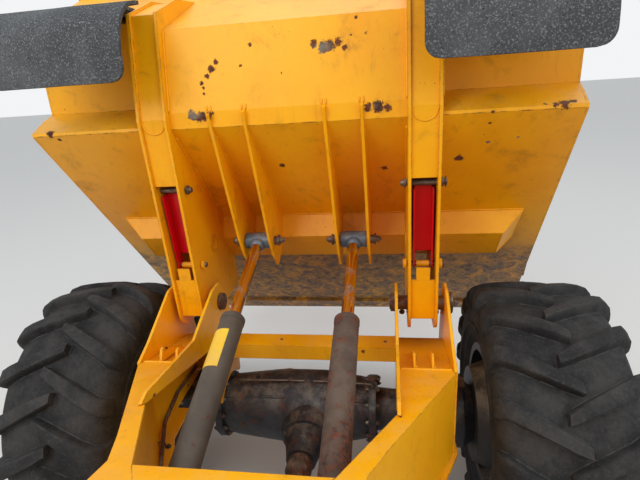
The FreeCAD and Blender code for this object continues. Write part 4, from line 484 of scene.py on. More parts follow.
class Shape:
    """A mesh while it is being put together; places are in metres, sizes in millimetres."""

    def __init__(self):
        self.points, self.faces = [], []

    def rings(self, rings, loop=False):
        """Joins rings of as many points each: into a closed bar, or round again with 'loop'."""
        start, count = len(self.points), len(rings[0])
        for ring in rings:
            self.points.extend(ring)
        for i in range(len(rings) if loop else len(rings) - 1):
            a, b = start + i * count, start + (i + 1) % len(rings) * count
            for k in range(count):
                m = (k + 1) % count
                self.faces.append((a + k, a + m, b + m, b + k))
        if not loop:
            last = start + (len(rings) - 1) * count
            self.faces.append(tuple(range(start + count - 1, start - 1, -1)))
            self.faces.append(tuple(range(last, last + count)))
        return self

    def lathe(self, place, axis, profile, sides=28, loop=False, phase=0.0):
        """Turns a profile of (along the axis, radius) about the axis through a place."""
        axis = Vector(axis).normalized()
        side = axis.orthogonal().normalized()
        across = axis.cross(side)
        rings = []
        for along, radius in profile:
            turns = [2 * math.pi * k / sides + phase for k in range(sides)]
            rings.append([place + (axis * along + (side * math.cos(t) + across * math.sin(t)) * radius) / 1000
                          for t in turns])
        return self.rings(rings, loop)

    def nut(self, place, axis, size, washer=True, stud=True):
        """A hexagon nut or bolt head of a size across its flats, seated at a place."""
        base, corner, high = 0.0, size * 0.577, size * 0.62
        if washer:
            base = size * 0.12
            self.lathe(place, axis, ((0, size * 0.84), (base * 0.8, size * 0.86), (base, size * 0.82)), 24)
        self.lathe(place, axis, ((base, corner * 0.94), (base + high * 0.12, corner),
                                 (base + high * 0.84, corner), (base + high, corner * 0.86)), 6,
                   phase=random.uniform(0, 1))
        if stud:
            self.lathe(place, axis, ((base + high * 0.9, size * 0.27), (base + high * 1.35, size * 0.27),
                                     (base + high * 1.5, size * 0.21)), 14)
        return self

    def tube(self, path, radius, sides=10, ripple=0.0, step=0.0, flat=1.0):
        """Sweeps a ring along a path of places; 'ripple' swells it unevenly, as a weld is."""
        spots = [Vector(p) for p in path]
        if step:
            close = []
            for a, b in zip(spots, spots[1:]):
                count = max(1, round((b - a).length / step * 1000))
                close += [a.lerp(b, i / count) for i in range(count)]
            spots = close + [spots[-1]]
        rings, side = [], None
        for i, spot in enumerate(spots):
            way = (spots[min(i + 1, len(spots) - 1)] - spots[max(i - 1, 0)]).normalized()
            side = way.orthogonal() if side is None else side - way * side.dot(way)
            side = side.normalized()
            across = way.cross(side)
            swell = radius * (1 + ripple * (random.uniform(-0.7, 0.7) + (i % 2 * 2 - 1) * 0.5)) / 1000
            if ripple and i in (0, len(spots) - 1):
                swell *= 0.5
            rings.append([spot + side * math.cos(t) * swell + across * math.sin(t) * swell * flat
                          for t in (2 * math.pi * k / sides for k in range(sides))])
        return self.rings(rings)

    def slab(self, outline, thick, bevel=1.5):
        """A flat plate from an outline of places, with its edges bevelled; thick along its normal."""
        spots = [Vector(p) for p in outline]
        middle = sum(spots, Vector()) / len(spots)
        normal = sum(((a - middle).cross(b - middle) for a, b in zip(spots, spots[1:] + spots[:1])),
                     Vector()).normalized()
        inner = [p + (middle - p).normalized() * bevel / 1000 for p in spots]
        rise = [0, min(bevel, abs(thick) / 2), thick - min(bevel, abs(thick) / 2), thick]
        return self.rings([[p + normal * h / 1000 for p in line]
                           for h, line in zip(rise, (inner, spots, spots, inner))])

    def make(self, name, material, body, slot, smooth=38):
        """Turns the skin into a piece of the machine that moves with a body."""
        mesh = bpy.data.meshes.new(name)
        mesh.from_pydata([tuple(p) for p in self.points], [], self.faces)
        work = bmesh.new()
        work.from_mesh(mesh)
        bmesh.ops.recalc_face_normals(work, faces=work.faces)
        work.to_mesh(mesh)
        work.free()
        mesh.polygons.foreach_set("use_smooth", [True] * len(mesh.polygons))
        mesh.set_sharp_from_angle(angle=math.radians(smooth))
        mesh.materials.append(material)
        piece = bpy.data.objects.new(name, mesh)
        bpy.context.scene.collection.objects.link(piece)
        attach(piece, body)
        MADE.append(piece)
        return piece


MADE = []


def rounded(wide, high, radius, count=5):
    """The corners of a rounded rectangle about 0, counter-clockwise."""
    out = []
    for k, (sx, sy) in enumerate(((1, 1), (-1, 1), (-1, -1), (1, -1))):
        for i in range(count + 1):
            t = math.pi / 2 * (k + i / count)
            out.append((sx * (wide / 2 - radius) + radius * math.cos(t),
                        sy * (high / 2 - radius) + radius * math.sin(t)))
    return out


# %% [markdown]
# A tyre is a turned carcass with 36 lugs. Each lug follows a path from the middle of the tread
# to the shoulder and a little way down the side wall. Its foot is wider than its top, its
# corners are rounded, and small random steps give the worn look of rubber that has worked.

# %% Tyres
TYRE_WALL = ((0, 541), (90, 540), (160, 536), (205, 522), (226, 500), (238, 468), (243, 430), (240, 404),
             (246, 400), (247, 388), (240, 382), (236, 366), (230, 352), (232, 348), (228, 342),
             (218, 322), (212, 306), (206, 296), (194, 287))
LUG_TOP = ((-30, 584), (20, 585), (80, 584), (140, 580), (190, 573), (225, 560), (244, 538), (250, 512),
           (251, 486), (248, 462))
LUG_FOOT = ((-30, 532), (20, 534), (80, 533), (140, 530), (185, 520), (208, 505), (222, 488), (229, 470),
            (233, 455), (236, 444))
LUG_PAIRS, LUG_LEAN = 18, 0.52


def tyre(name, node, body, middle, turned):
    """One tyre about its wheel's middle; 'turned' is 1, or -1 for the wheel set the other way."""
    shape = Shape()

    def spot(x, radius, angle):
        return middle + Vector((turned * x, turned * radius * math.sin(angle), radius * math.cos(angle))) / 1000

    section = [(x, r) for x, r in TYRE_WALL] + [(-x, r) for x, r in TYRE_WALL[:0:-1]]
    shape.rings([[spot(x, r, 2 * math.pi * i / 108) for x, r in section] for i in range(108)], loop=True)
    for lug in range(2 * LUG_PAIRS):
        sign = 1 if lug % 2 else -1
        start = math.pi / LUG_PAIRS * lug
        rings = []
        for i, ((tx, tr), (fx, fr)) in enumerate(zip(LUG_TOP, LUG_FOOT)):
            reach = min(max(tx, -30), 225) + 30
            angle = start + reach * LUG_LEAN / 585
            wide = 50 + 0.09 * reach
            if i == 0:
                tr, wide = tr - 5, wide - 8
            if i == len(LUG_TOP) - 1:
                tx, tr = fx + 3, tr
            ring = []
            for half, share in ((1.15, 0.0), (1.02, 0.62), (0.94, 0.93), (0.80, 1.0), (0.3, 1.0), (-0.3, 1.0),
                                (-0.80, 1.0), (-0.94, 0.93), (-1.02, 0.62), (-1.15, 0.0)):
                x, r = fx + (tx - fx) * share, fr - 6 + (tr - fr + 6) * share
                if share > 0.5:
                    x += random.uniform(-1.2, 1.2)
                    r += random.uniform(-1.6, 0.5)
                ring.append(spot(sign * x, r, angle + wide / 2 * half / 585))
            rings.append(ring)
        shape.rings(rings)
    piece = shape.make(name, TYRE_RUBBER, body, "tyre", smooth=50)
    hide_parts(node)


for end, y in (("front", 0), ("rear", -2500)):
    for side, sign in (("left", -1), ("right", 1)):
        tyre("%s_tyre_%s_lugged" % (end, side), "%s_tyre_%s" % (end, side),
             "%s_wheel_%s" % (end, side), at(975 * sign, y, 585), sign)
print("tyres", sum(len(p.data.polygons) for p in MADE), "faces")

# %% [markdown]
# The wheel discs are held by ten studs each. A small cap closes the hub, and a valve stem
# stands near the rim.

# %% Wheel nuts, hub caps and valves
for end, y in (("front", 0), ("rear", -2500)):
    for side, sign in (("left", -1), ("right", 1)):
        body = "%s_wheel_%s" % (end, side)
        nuts = Shape()
        for i in range(10):
            t = 2 * math.pi * i / 10
            nuts.nut(at(sign * 731.5, y + 150 * math.sin(t), 585 + 150 * math.cos(t)), (sign, 0, 0), 30)
        nuts.make(body + "_nuts", PIN_STEEL, body, "steel")
        cap = Shape()
        cap.lathe(at(sign * 1074, y, 585), (sign, 0, 0), ((0, 80), (6, 78), (9, 66), (16, 62), (20, 40),
                                                          (21, 18), (21, 0.5)), 40)
        cap.lathe(at(sign * 1095, y, 585), (sign, 0, 0), ((-1, 12), (3, 12), (5, 9), (5, 0.4)), 20)
        cap.make(body + "_cap", GREY_PAINT, body, "grey")
        valve = Shape()
        valve.tube([at(sign * 880, y, 585 + 262), at(sign * 905, y, 585 + 252), at(sign * 950, y, 585 + 246)], 4.5)
        valve.lathe(at(sign * 950, y, 585 + 246), (sign, 0, -0.1), ((0, 6), (10, 6), (13, 4)), 12)
        valve.make(body + "_valve", BLACK_PLASTIC, body, "rubber")

# %% [markdown]
# Two mats of rubber crumb hang over the wheel recesses. Each follows the bent path of the CAD
# flap, has rounded lower corners, is notched round the lifting arm and waves a little.

# %% Flaps
FLAP_PATH = ((300, 2342.6), (262, 2329.4), (150, 2322), (50, 2328), (-30, 2334), (-100, 2318),
             (-160, 2268), (-195, 2190), (-208, 2080))


def smooth_path(points, parts):
    """A curve through points (Catmull-Rom), as many short steps."""
    out = []
    for i in range(len(points) - 1):
        p = [Vector(points[min(max(i + k, 0), len(points) - 1)]) for k in (-1, 0, 1, 2)]
        for s in range(parts):
            t = s / parts
            out.append(0.5 * (2 * p[1] + (p[2] - p[0]) * t + (2 * p[0] - 5 * p[1] + 4 * p[2] - p[3]) * t ** 2
                              + (3 * p[1] - p[0] - 3 * p[2] + p[3]) * t ** 3))
    return out + [Vector(points[-1])]


def flap(side, sign):
    line = smooth_path(FLAP_PATH, 14)
    total = sum((b - a).length for a, b in zip(line, line[1:]))
    walked, upper, lower = 0.0, [], []
    across = 30
    for i, spot in enumerate(line):
        if i:
            walked += (spot - line[i - 1]).length
        way = (line[min(i + 1, len(line) - 1)] - line[max(i - 1, 0)]).normalized()
        normal = Vector((-way.y, way.x))
        left = 50 - (total - walked)
        cut = 50 - math.sqrt(max(0.0, 50 ** 2 - left ** 2)) if left > 0 else 0.0
        near = 485 + 77 * min(1.0, max(0.0, (spot.x + 12) / 20)) + cut
        far = 1010 - cut
        for row, offset in ((upper, 6), (lower, -6)):
            line_points = []
            for k in range(across + 1):
                x = near + (far - near) * k / across
                free = max(0.0, walked / total - 0.45)
                wave = free * (7 * math.sin(x / 75 + sign) + 4 * math.sin(x / 31 + 2 * sign))
                shift = normal * (offset + wave)
                line_points.append(at(sign * x, spot.x - shift.x, spot.y - shift.y))
            row.append(line_points)
    shape = Shape()
    shape.rings([a + b[::-1] for a, b in zip(upper, lower)])
    piece = shape.make("flap_mat_" + side, FLAP_RUBBER, "skip", "rubber", smooth=60)
    return piece


flaps = [flap("left", -1), flap("right", 1)]
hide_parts("skip_flaps")
battens = Shape()
for sign in (-1, 1):
    for i in range(5):
        battens.nut(at(sign * (610 + 90 * i), 236, 2331), (0, -0.06, 1), 17)
battens.make("flap_bolts", PIN_STEEL, "skip", "steel")

# %% [markdown]
# Welds are what a solid model leaves out most. A bead runs where the ribs, the arms and the
# stiffener meet the skip, and where plates of the frame meet.

# %% Welds
FLOOR_RISE = math.radians(29.8)
EYE_X, ARM_IN, ARM_OUT = 215, 441, 559


def under_floor(x, along, off=0.0):
    """A point below the skip's floor: along it from the rear fold, and off its underside."""
    return on_skip(x, -780 + along * math.cos(FLOOR_RISE) + off * math.sin(FLOOR_RISE),
                   65 + along * math.sin(FLOOR_RISE) - off * math.cos(FLOOR_RISE))


def behind_foot(x, along, off=0.0):
    """A point behind the skip's foot: along it from the floor's fold, and off its outer face."""
    return on_skip(x, -780 - along * 0.9177 - off * 0.3974, 65 + along * 0.3974 - off * 0.9177)


def on_cover(y):
    """How high the upper cover of a lifting arm is, for a place of the level skip behind the hinge."""
    return 61 + (y + 812) * (22 - 61) / (-558.5 + 812) - 1


welds = Shape()
for sign in (-1, 1):
    for x in (EYE_X - 73, EYE_X - 61, EYE_X + 61, EYE_X + 73):
        lean = -1 if x in (EYE_X - 73, EYE_X + 61) else 1
        welds.tube([under_floor(sign * (x + lean * 1.5), along, 1.5) for along in (56, 630)], 4, 7, 0.16, 5)
        welds.tube([behind_foot(sign * (x + lean * 1.5), along, 1.5) for along in (52, 72)], 3.5, 7, 0.16, 5)
    for x, lean in ((ARM_IN, -1), (ARM_OUT, 1)):
        welds.tube([under_floor(sign * (x + lean * 2), along, 2) for along in (56, 628)], 5, 7, 0.16, 5)
        welds.tube([under_floor(sign * (x + lean * 2), along, 2) for along in (864, 900)], 5, 7, 0.16, 5)
        welds.tube([behind_foot(sign * (x + lean * 2), along, 2) for along in (56, 345)], 5, 7, 0.16, 5)
    for low, high in ((146, 284), (288, 441), (559, 964)):
        welds.tube([under_floor(sign * low, 628, 1.5), under_floor(sign * high, 628, 1.5)], 4, 7, 0.16, 5)
    for low, high in ((0, 441), (559, 950)):
        welds.tube([under_floor(sign * low, 864, 1.5), under_floor(sign * high, 864, 1.5)], 4, 7, 0.16, 5)
    welds.tube([under_floor(sign * 966, 632, 1.5), under_floor(sign * 870, 676, 99), under_floor(sign * 868, 836, 113),
                under_floor(sign * 966, 860, 1.5)], 3.5, 7, 0.16, 5)
    u_weld = [on_skip(sign * x, y, on_cover(y)) for x, y in
              ((ARM_IN + 14, -806), (ARM_IN + 17, -792), (ARM_IN + 30, -770), (500, -760), (ARM_OUT - 30, -770),
               (ARM_OUT - 17, -792), (ARM_OUT - 14, -806))]
    welds.tube(smooth_path(u_weld, 4), 3.2, 7, 0.16, 5)
welds.tube([under_floor(-142, 628, 1.5), under_floor(142, 628, 1.5)], 4, 7, 0.16, 5)
welds.make("skip_welds", SKIP_PAINT, "skip", "yellow", smooth=80)
frame_welds = Shape()
for sign in (-1, 1):
    for path in (((402, -330, 1056), (586, -330, 1056)), ((404, 112, 700), (404, 112, 880)),
                 ((584, 112, 700), (584, 112, 880)), ((386, -40, 941), (386, 54, 941)),
                 ((386, -30, 872), (386, -30, 935)), ((318, -1103, 720), (318, -1103, 1190))):
        frame_welds.tube([at(sign * x, y, z) for x, y, z in path], 4.5, 7, 0.16, 5)
frame_welds.make("frame_welds", FRAME_PAINT, "front", "yellow", smooth=80)

# %% [markdown]
# The ram eyes are thick blue-grey sleeves, welded to the rods and pinned between the ribs. The
# left barrel was renewed: it is smooth and carries a blank yellow patch and a black port.

# %% Tipping rams
RAM_RISE = math.radians(18.352)
RAM_LONG = 1248.5


def on_ram(sign, along, turn=0.0, radius=0.0):
    """A point on a tipping ram: along it from its base pin, and out from its middle line."""
    up = radius * math.cos(math.radians(turn))
    out = radius * math.sin(math.radians(turn))
    return at(sign * EYE_X + out, -1020 + along * math.cos(RAM_RISE) - up * math.sin(RAM_RISE),
              970 + along * math.sin(RAM_RISE) + up * math.cos(RAM_RISE))


RAM_WAY = (0, math.cos(RAM_RISE), math.sin(RAM_RISE))
for side, sign in (("left", -1), ("right", 1)):
    eye = on_ram(sign, RAM_LONG)
    boss = Shape()
    boss.lathe(eye, (1, 0, 0), ((-55, 30), (-55.5, 33.5), (-53, 35.6), (-18, 35.8), (-15, 36.6), (15, 36.6),
                                (18, 35.8), (53, 35.6), (55.5, 33.5), (55, 30)), 40)
    boss.lathe(on_ram(sign, RAM_LONG - 36), RAM_WAY, ((-16, 25), (-10, 31), (2, 35), (12, 33)), 28)
    boss.nut(on_ram(sign, RAM_LONG, 20, 35.5), on_ram(sign, RAM_LONG, 20, 1000) - eye, 9, washer=False)
    boss.make("ram_eye_" + side, BOSS_BLUE, "tip_ram_rod_" + side, "grey")
    pin = Shape()
    for out in (-1, 1):
        face = eye + Vector((out * 0.0895, 0, 0))
        pin.lathe(face, (out, 0, 0), ((0, 24), (1, 25), (6, 25), (7.5, 23.5)), 28)
        pin.nut(face + Vector((out * 0.0072, 0, 0)), (out, 0, 0), 26, washer=False)
    pin.make("ram_eye_pin_" + side, PIN_STEEL, "skip", "steel")
    gland = Shape()
    gland.lathe(on_ram(sign, 795.5), RAM_WAY, ((-30, 45.4), (-29, 46.5), (-9, 46.5), (-6, 44), (0.4, 38),
                                               (1.4, 30), (1.4, 25.5), (-6, 25.2), (-6, 40)), 44, loop=True)
    for port in (770, 92):
        gland.lathe(on_ram(sign, port, 180, 42), on_ram(sign, port, 180, 1000) - on_ram(sign, port),
                    ((0, 15), (9, 15), (11, 13), (11, 0.5)), 24)
    gland.make("ram_gland_" + side, SMOOTH_BARREL if sign < 0 else RUSTY_BARREL, "tip_ram_barrel_" + side, "grey")
    hose = Shape()
    start, knee = on_ram(sign, 770, 180, 54), on_ram(sign, 764, 180, 74)
    hose.nut(start, knee - start, 24, washer=False, stud=False)
    hose.tube(smooth_path([start, knee, on_ram(sign, 740, 180, 80), on_ram(sign, 690, 180, 64),
                           on_ram(sign, 600, 180, 55.5), on_ram(sign, 400, 180, 55),
                           on_ram(sign, 130, 180, 55)], 8), 9, 12)
    hose.make("ram_hose_" + side, BLACK_RUBBER, "tip_ram_barrel_" + side, "rubber")

patch = Shape()
rows = []
for k in range(15):
    turn = -62 + 84 * k / 14
    rows.append([on_ram(-1, along, turn, radius) for along, radius in
                 ((548, 45.2), (549, 46.4), (705, 46.4), (706, 45.2))])
patch.rings(rows)
patch.make("ram_patch", PATCH_YELLOW, "tip_ram_barrel_left", "yellow", smooth=50)

# %% [markdown]
# Every pin of the skip ends in a washer and a nut or a linch pin. The feet of the arms and the fork heads carry bolts
# and a guard plate.

# %% Pins, nuts and stops of the skip
ends = Shape()
for sign in (-1, 1):
    for y, z in ((-185, 21.5), (-524.5, 60)):
        for x, out in ((427, -1), (573, 1)):
            place = on_skip(sign * x, y, z)
            ends.lathe(place, (sign * out, 0, 0), ((-9, 17), (-8.5, 18.5), (-2, 18.5), (-1, 17)), 24)
            ends.lathe(place, (sign * out, 0, 0), ((-1.5, 12), (9, 12), (12, 10), (12, 0.4)), 20)
        loop = on_skip(sign * 580, y, z)
        ends.tube([loop + Vector((0, 0.019 * math.cos(t), 0.019 * math.sin(t)))
                   for t in (2 * math.pi * k / 20 for k in range(19))], 2.2, 8)
        ends.tube([loop + Vector((0, 0.02, 0)), loop - Vector((0, 0.016, 0))], 3.2, 8)
ends.make("prop_pin_ends", PIN_STEEL, "skip", "steel")
sleeves = Shape()
for sign in (-1, 1):
    sleeves.lathe(on_skip(sign * 500, -185, 21.5), (1, 0, 0), ((-26, 12), (-25.5, 13.4), (25.5, 13.4), (26, 12)), 24)
    for x in (430, 570):
        sleeves.lathe(on_skip(sign * x, -185, 21.5), (1, 0, 0), ((-8, 17), (-7, 19.4), (7, 19.4), (8, 17)), 24)
sleeves.make("prop_pin_sleeves", ARM_PAINT, "skip", "yellow")
heads = Shape()
for sign in (-1, 1):
    hub = at(sign * 614, 30, 1125)
    heads.lathe(hub, (sign, 0, 0), ((0, 43), (3, 45), (8, 44), (10, 38), (10, 0.5)), 36)
    heads.nut(hub + Vector((sign * 0.01, 0, 0)), (sign, 0, 0), 24, washer=True)
    heads.slab([at(sign * 600.5, 30 + y, 1125 + z) for y, z in
                ((48, -20), (84, -20), (96, -8), (96, 8), (84, 20), (48, 20))], 6 * sign, 1)
    heads.nut(at(sign * 606.5, 30 + 78, 1125), (sign, 0, 0), 16)
    for x in (420, 452, 540, 570):
        heads.nut(at(sign * x, 131, 1020), (0, 1, 0), 15)
heads.make("hinge_pin_heads", PIN_STEEL, "front", "steel")

# %% [markdown]
# The axle is a casting: its flanges are ringed with bolts, a rib stands along its top, a breather stands on it, and
# the brake housings at its ends have their own bolts and blocks.

# %% Axle castings
for end, y, body, flip in (("front", 0, "front", 1), ("rear", -2500, "rear", -1)):
    bolts, ribs = Shape(), Shape()
    for face, out, ring, count, size in ((270, -1, 138, 12, 17), (300, 1, 138, 12, 17), (-400, 1, 138, 12, 17),
                                         (-430, -1, 138, 12, 17), (605, -1, 132, 10, 19),
                                         (-605, 1, 132, 10, 19)):
        for i in range(count):
            t = 2 * math.pi * (i + 0.5) / count
            bolts.nut(at(face, y + ring * math.sin(t), 585 + ring * math.cos(t)), (out, 0, 0), size)
    for i in range(8):
        t = 2 * math.pi * (i + 0.5) / 8
        bolts.nut(at(88 * math.sin(t), y - flip * 210, 585 + 88 * math.cos(t)), (0, -flip, 0), 15)
    bolts.make(end + "_axle_bolts", PIN_STEEL, body, "steel")
    for turn in (-38, 38):
        for x0, x1, r0, r1 in ((-395, -100, 126, 160), (70, 265, 160, 126)):
            c, s = math.cos(math.radians(turn)), math.sin(math.radians(turn))
            ribs.tube([at(x, y + r * s, 585 + r * c) for x, r in ((x0, r0), (x1, r1))], 9, 10, 0.05, 14)
    ribs.lathe(at(0, y - flip * 150, 585), (0, -flip, 0), ((0, 112), (20, 114), (46, 104), (60, 104), (62, 98),
                                                          (62, 72)), 40)
    ribs.lathe(at(-250, y, 585 + 146), (0, 0, 1), ((-8, 11), (6, 11), (8, 8), (20, 8), (22, 5)), 18)
    ribs.make(end + "_axle_ribs", AXLE_IRON, body, "axle")
    hubs = Shape()
    for sign in (-1, 1):
        for spot in ((652, 0, 152), (652, 0, -152)):
            hubs.slab([at(sign * (spot[0] + u), y + v, 585 + spot[2]) for u, v in rounded(64, 70, 10)],
                      14 * (1 if spot[2] > 0 else -1), 3)
    hubs.make(end + "_hub_blocks", SHAFT_IRON, body, "axle")
print("pieces", len(MADE), "faces", sum(len(p.data.polygons) for p in MADE))

# %% [markdown]
# The driver's seat: a cushion with side bolsters and a backrest, in black vinyl. Each pad
# starts as a closed form, is remeshed, and swells as cloth under a small pressure. No point
# may move far, so the pads keep to the space that the CAD seat holds. Piping follows the seams.

# %% Cushions
PAD_SECTION = ((0.04, -1), (0.4, -1), (0.8, -1), (0.93, -0.92), (0.985, -0.6), (1, 0), (0.985, 0.6),
               (0.93, 0.9), (0.82, 1), (0.6, 1), (0.35, 1), (0.04, 1))


def pad_form(middle, wide, long, thick, tilt, crown):
    """A crowned pad leant by 'tilt' about a place; its sides pull in between its corners."""
    lean = Matrix.Rotation(math.radians(tilt), 3, "X")
    rings = []
    for share, level in PAD_SECTION:
        ring = []
        for x, y in rounded(wide, long, min(55, wide * 0.3), 7):
            pull = 1 - 0.03 * math.cos(math.pi * x / wide) ** 2 - 0.03 * math.cos(math.pi * y / long) ** 2
            rise = level * thick / 2 + (crown * (1 - share ** 2) if level == 1 else 0)
            ring.append(middle + lean @ Vector((x * share * pull, y * share * pull, rise)) / 1000)
        rings.append(ring)
    return Shape().rings(rings)


def swell(piece, pressure, cap):
    """Lets a pad swell as cloth under pressure; no point moves farther than 'cap' millimetres."""
    remesh = piece.modifiers.new("remesh", "REMESH")
    remesh.mode, remesh.voxel_size = "VOXEL", 0.006
    graph = bpy.context.evaluated_depsgraph_get()
    mesh = bpy.data.meshes.new_from_object(piece.evaluated_get(graph))
    piece.modifiers.clear()
    piece.data = mesh
    rest = [v.co.copy() for v in mesh.vertices]
    cloth = piece.modifiers.new("cloth", "CLOTH")
    cloth.settings.use_pressure = True
    cloth.settings.uniform_pressure_force = pressure
    cloth.settings.effector_weights.gravity = 0
    cloth.point_cache.frame_start, cloth.point_cache.frame_end = 1, 20
    scene = bpy.context.scene
    for step in range(1, 21):
        scene.frame_set(step)
    graph = bpy.context.evaluated_depsgraph_get()
    moved = [v.co.copy() for v in piece.evaluated_get(graph).data.vertices]
    piece.modifiers.clear()
    scene.frame_set(1)
    far = 0.0
    for vertex, old, new in zip(mesh.vertices, rest, moved):
        step = new - old
        if step.length > cap / 1000:
            step = step.normalized() * cap / 1000
        far = max(far, step.length)
        vertex.co = old + step
    work = bmesh.new()
    work.from_mesh(mesh)
    for _ in range(4):
        bmesh.ops.smooth_vert(work, verts=work.verts, factor=0.5, use_axis_x=True, use_axis_y=True,
                              use_axis_z=True)
    work.to_mesh(mesh)
    work.free()
    mesh.polygons.foreach_set("use_smooth", [True] * len(mesh.polygons))
    finer = piece.modifiers.new("finer", "SUBSURF")
    finer.levels = finer.render_levels = 1
    print(piece.name, "swelled by up to", round(far * 1000, 1), "mm")


CUSHIONS = (
    # name, middle, wide, long, thick, tilt, crown, fill
    ("seat_cushion", at(0, -1826, 1184), 346, 356, 84, 3.4, 10, 0.85),
    ("seat_bolster_left", at(-204, -1826, 1190), 62, 356, 88, 3.4, 8, 0.9),
    ("seat_bolster_right", at(204, -1826, 1190), 62, 356, 88, 3.4, 8, 0.9),
    ("seat_backrest", at(0, -2090, 1462), 440, 376, 66, -78.7, 9, 0.8),
)
for name, middle, wide, long, thick, tilt, crown, fill in CUSHIONS:
    pad = pad_form(middle, wide, long, thick, tilt, crown).make(name, SEAT_VINYL, "rear", "seat", smooth=70)
    swell(pad, 4.0, 6)

shell = Shape()
back = ((-1648, 1118), (-1640, 1128), (-1648, 1148), (-2016, 1138), (-2048, 1160), (-2136, 1655), (-2152, 1666),
        (-2186, 1662), (-2196, 1646), (-2136, 1140), (-2110, 1118))
shell.rings([[at(x, y + (s - 1) * (y + 1920) * 0.01, z) for y, z in back]
             for x, s in ((-236, 0), (-230, 1), (230, 1), (236, 0))])
shell.rings([[at(x * s, -1890 + y * s, z) for x, y in rounded(370, 350, 30, 4)]
             for z, s in ((1046, 1.0), (1056, 1.03), (1066, 0.96), (1078, 1.03), (1090, 0.96), (1102, 1.03),
                          (1112, 0.96), (1118, 1.0))])
shell_piece = shell.make("seat_shell", BLACK_PLASTIC, "rear", "seat", smooth=30)
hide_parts("seat")
piping = Shape()
for middle, wide, long, tilt, x0 in ((at(0, -1826, 1222), 318, 328, 3.4, 0), (at(0, -2060, 1468), 392, 330, -78.7, 0)):
    lean = Matrix.Rotation(math.radians(tilt), 3, "X")
    path = [middle + lean @ Vector((x, y, 0)) / 1000 for x, y in rounded(wide, long, 50, 8)]
    piping.tube(path + path[:1], 3.4, 8)
for x in (-62, 62):
    for middle, tilt, reach in ((at(x, -1826, 1232), 3.4, 140), (at(x, -2052, 1470), -78.7, 145)):
        lean = Matrix.Rotation(math.radians(tilt), 3, "X")
        piping.tube([middle + lean @ Vector((0, s * reach, -abs(s) ** 3 * 7)) / 1000
                     for s in (-1, -0.8, -0.5, 0, 0.5, 0.8, 1)], 2.4, 8)
piping.make("seat_piping", BLACK_PLASTIC, "rear", "seat")

# %% [markdown]
# The controls: a cap and a spinner knob on the steering wheel, gauges and switches on the dash,
# two levers with knobs and two pedals. None of them is a joint of the machine except the wheel.

# %% Controls
LEAN = math.radians(28)


def on_wheel(x, y, z):
    """A point about the steering wheel's middle, drawn flat and leant back with the column."""
    return at(x, -1648 + y * math.cos(LEAN) - z * math.sin(LEAN), 1543 + y * math.sin(LEAN) + z * math.cos(LEAN))


COLUMN = (0, -math.sin(LEAN), math.cos(LEAN))
wheel_cap = Shape()
wheel_cap.lathe(on_wheel(0, 0, 12.5), COLUMN, ((0, 41), (4, 40), (9, 33), (12, 20), (12.6, 0.5)), 36)
for i in range(3):
    t = math.radians(90 + 120 * i)
    way, side = Vector((math.cos(t), math.sin(t))), Vector((-math.sin(t), math.cos(t)))
    corners = [way * a + side * b + side * 13 for a, b in ((40, -11), (172, -9), (176, 0), (172, 9), (40, 11))]
    wheel_cap.slab([on_wheel(c.x, c.y, 8.4) for c in corners], 4, 1)
wheel_cap.lathe(on_wheel(-134, 134, 10), COLUMN, ((0, 8), (10, 8), (12, 20), (24, 24), (38, 22), (46, 14),
                                                 (48, 0.5)), 24)
wheel_cap.make("steering_wheel_cap", BLACK_PLASTIC, "steering_wheel", "plastic")

DASH_RISE = math.atan2(50, 140)
dash = Shape()
panel = [at(x, -1534 + y * math.cos(DASH_RISE), 1338 + y * math.sin(DASH_RISE)) for x, y in rounded(380, 104, 16)]
dash.slab(panel, 8, 2)
dash_up = Vector((0, -math.sin(DASH_RISE), math.cos(DASH_RISE)))
for x, y, radius in ((-120, 4, 32), (-44, 4, 32), (150, 18, 12), (150, -20, 12)):
    place = at(x, -1534 + y * math.cos(DASH_RISE), 1338 + y * math.sin(DASH_RISE)) + dash_up * 0.007
    dash.lathe(place, dash_up, ((0, radius + 4), (7, radius + 3), (9, radius), (5, radius - 1), (5, 0.5)), 30)
for i in range(4):
    place = at(22 + 26 * i, -1534, 1338) + dash_up * 0.007
    dash.rings([[place + Vector((x * s, y * s * math.cos(DASH_RISE), y * s * math.sin(DASH_RISE))) / 1000
                 + dash_up * h / 1000 for x, y in rounded(20, 34, 4, 3)]
                for h, s in ((0, 1), (5, 1), (7, 0.9), (9, 0.6))])
dash.make("dash_panel", BLACK_PLASTIC, "rear", "plastic")
glass = Shape()
for x in (-120, -44):
    place = at(x, -1534 + 4 * math.cos(DASH_RISE), 1338 + 4 * math.sin(DASH_RISE)) + dash_up * 0.013
    glass.lathe(place, dash_up, ((0, 31), (1.5, 30), (3, 20), (3.4, 0.5)), 30)
glass.make("dash_glasses", CLEAR_LENS, "rear", "plastic")
levers = Shape()
for x, y, high in ((236, -1530, 1420), (262, -1545, 1400), (-238, -1545, 1380)):
    sign = 1 if x > 0 else -1
    levers.tube(smooth_path([at(x - 34 * sign, -1500, 1150), at(x - 6 * sign, -1512, 1220), at(x, y, 1300),
                             at(x + 4 * sign, y - 12, high)], 6), 7, 12)
    levers.lathe(at(x - 32 * sign, -1500, 1146), (-0.8 * sign, 0.25, 1), ((-6, 22), (4, 22), (8, 17), (16, 15),
                                                                      (22, 10), (26, 8)), 24)
levers.make("lever_stems", BLACK_IRON, "rear", "steel")
knobs = Shape()
for x, y, high in ((236, -1530, 1420), (262, -1545, 1400), (-238, -1545, 1380)):
    sign = 1 if x > 0 else -1
    knobs.lathe(at(x + 4 * sign, y - 12, high - 4), (0.03 * sign, -0.1, 1),
                ((0, 9), (4, 12), (16, 17), (32, 20), (46, 17), (54, 9), (56, 0.5)), 28)
knobs.make("lever_knobs", BLACK_PLASTIC, "rear", "plastic")
pedals = Shape()
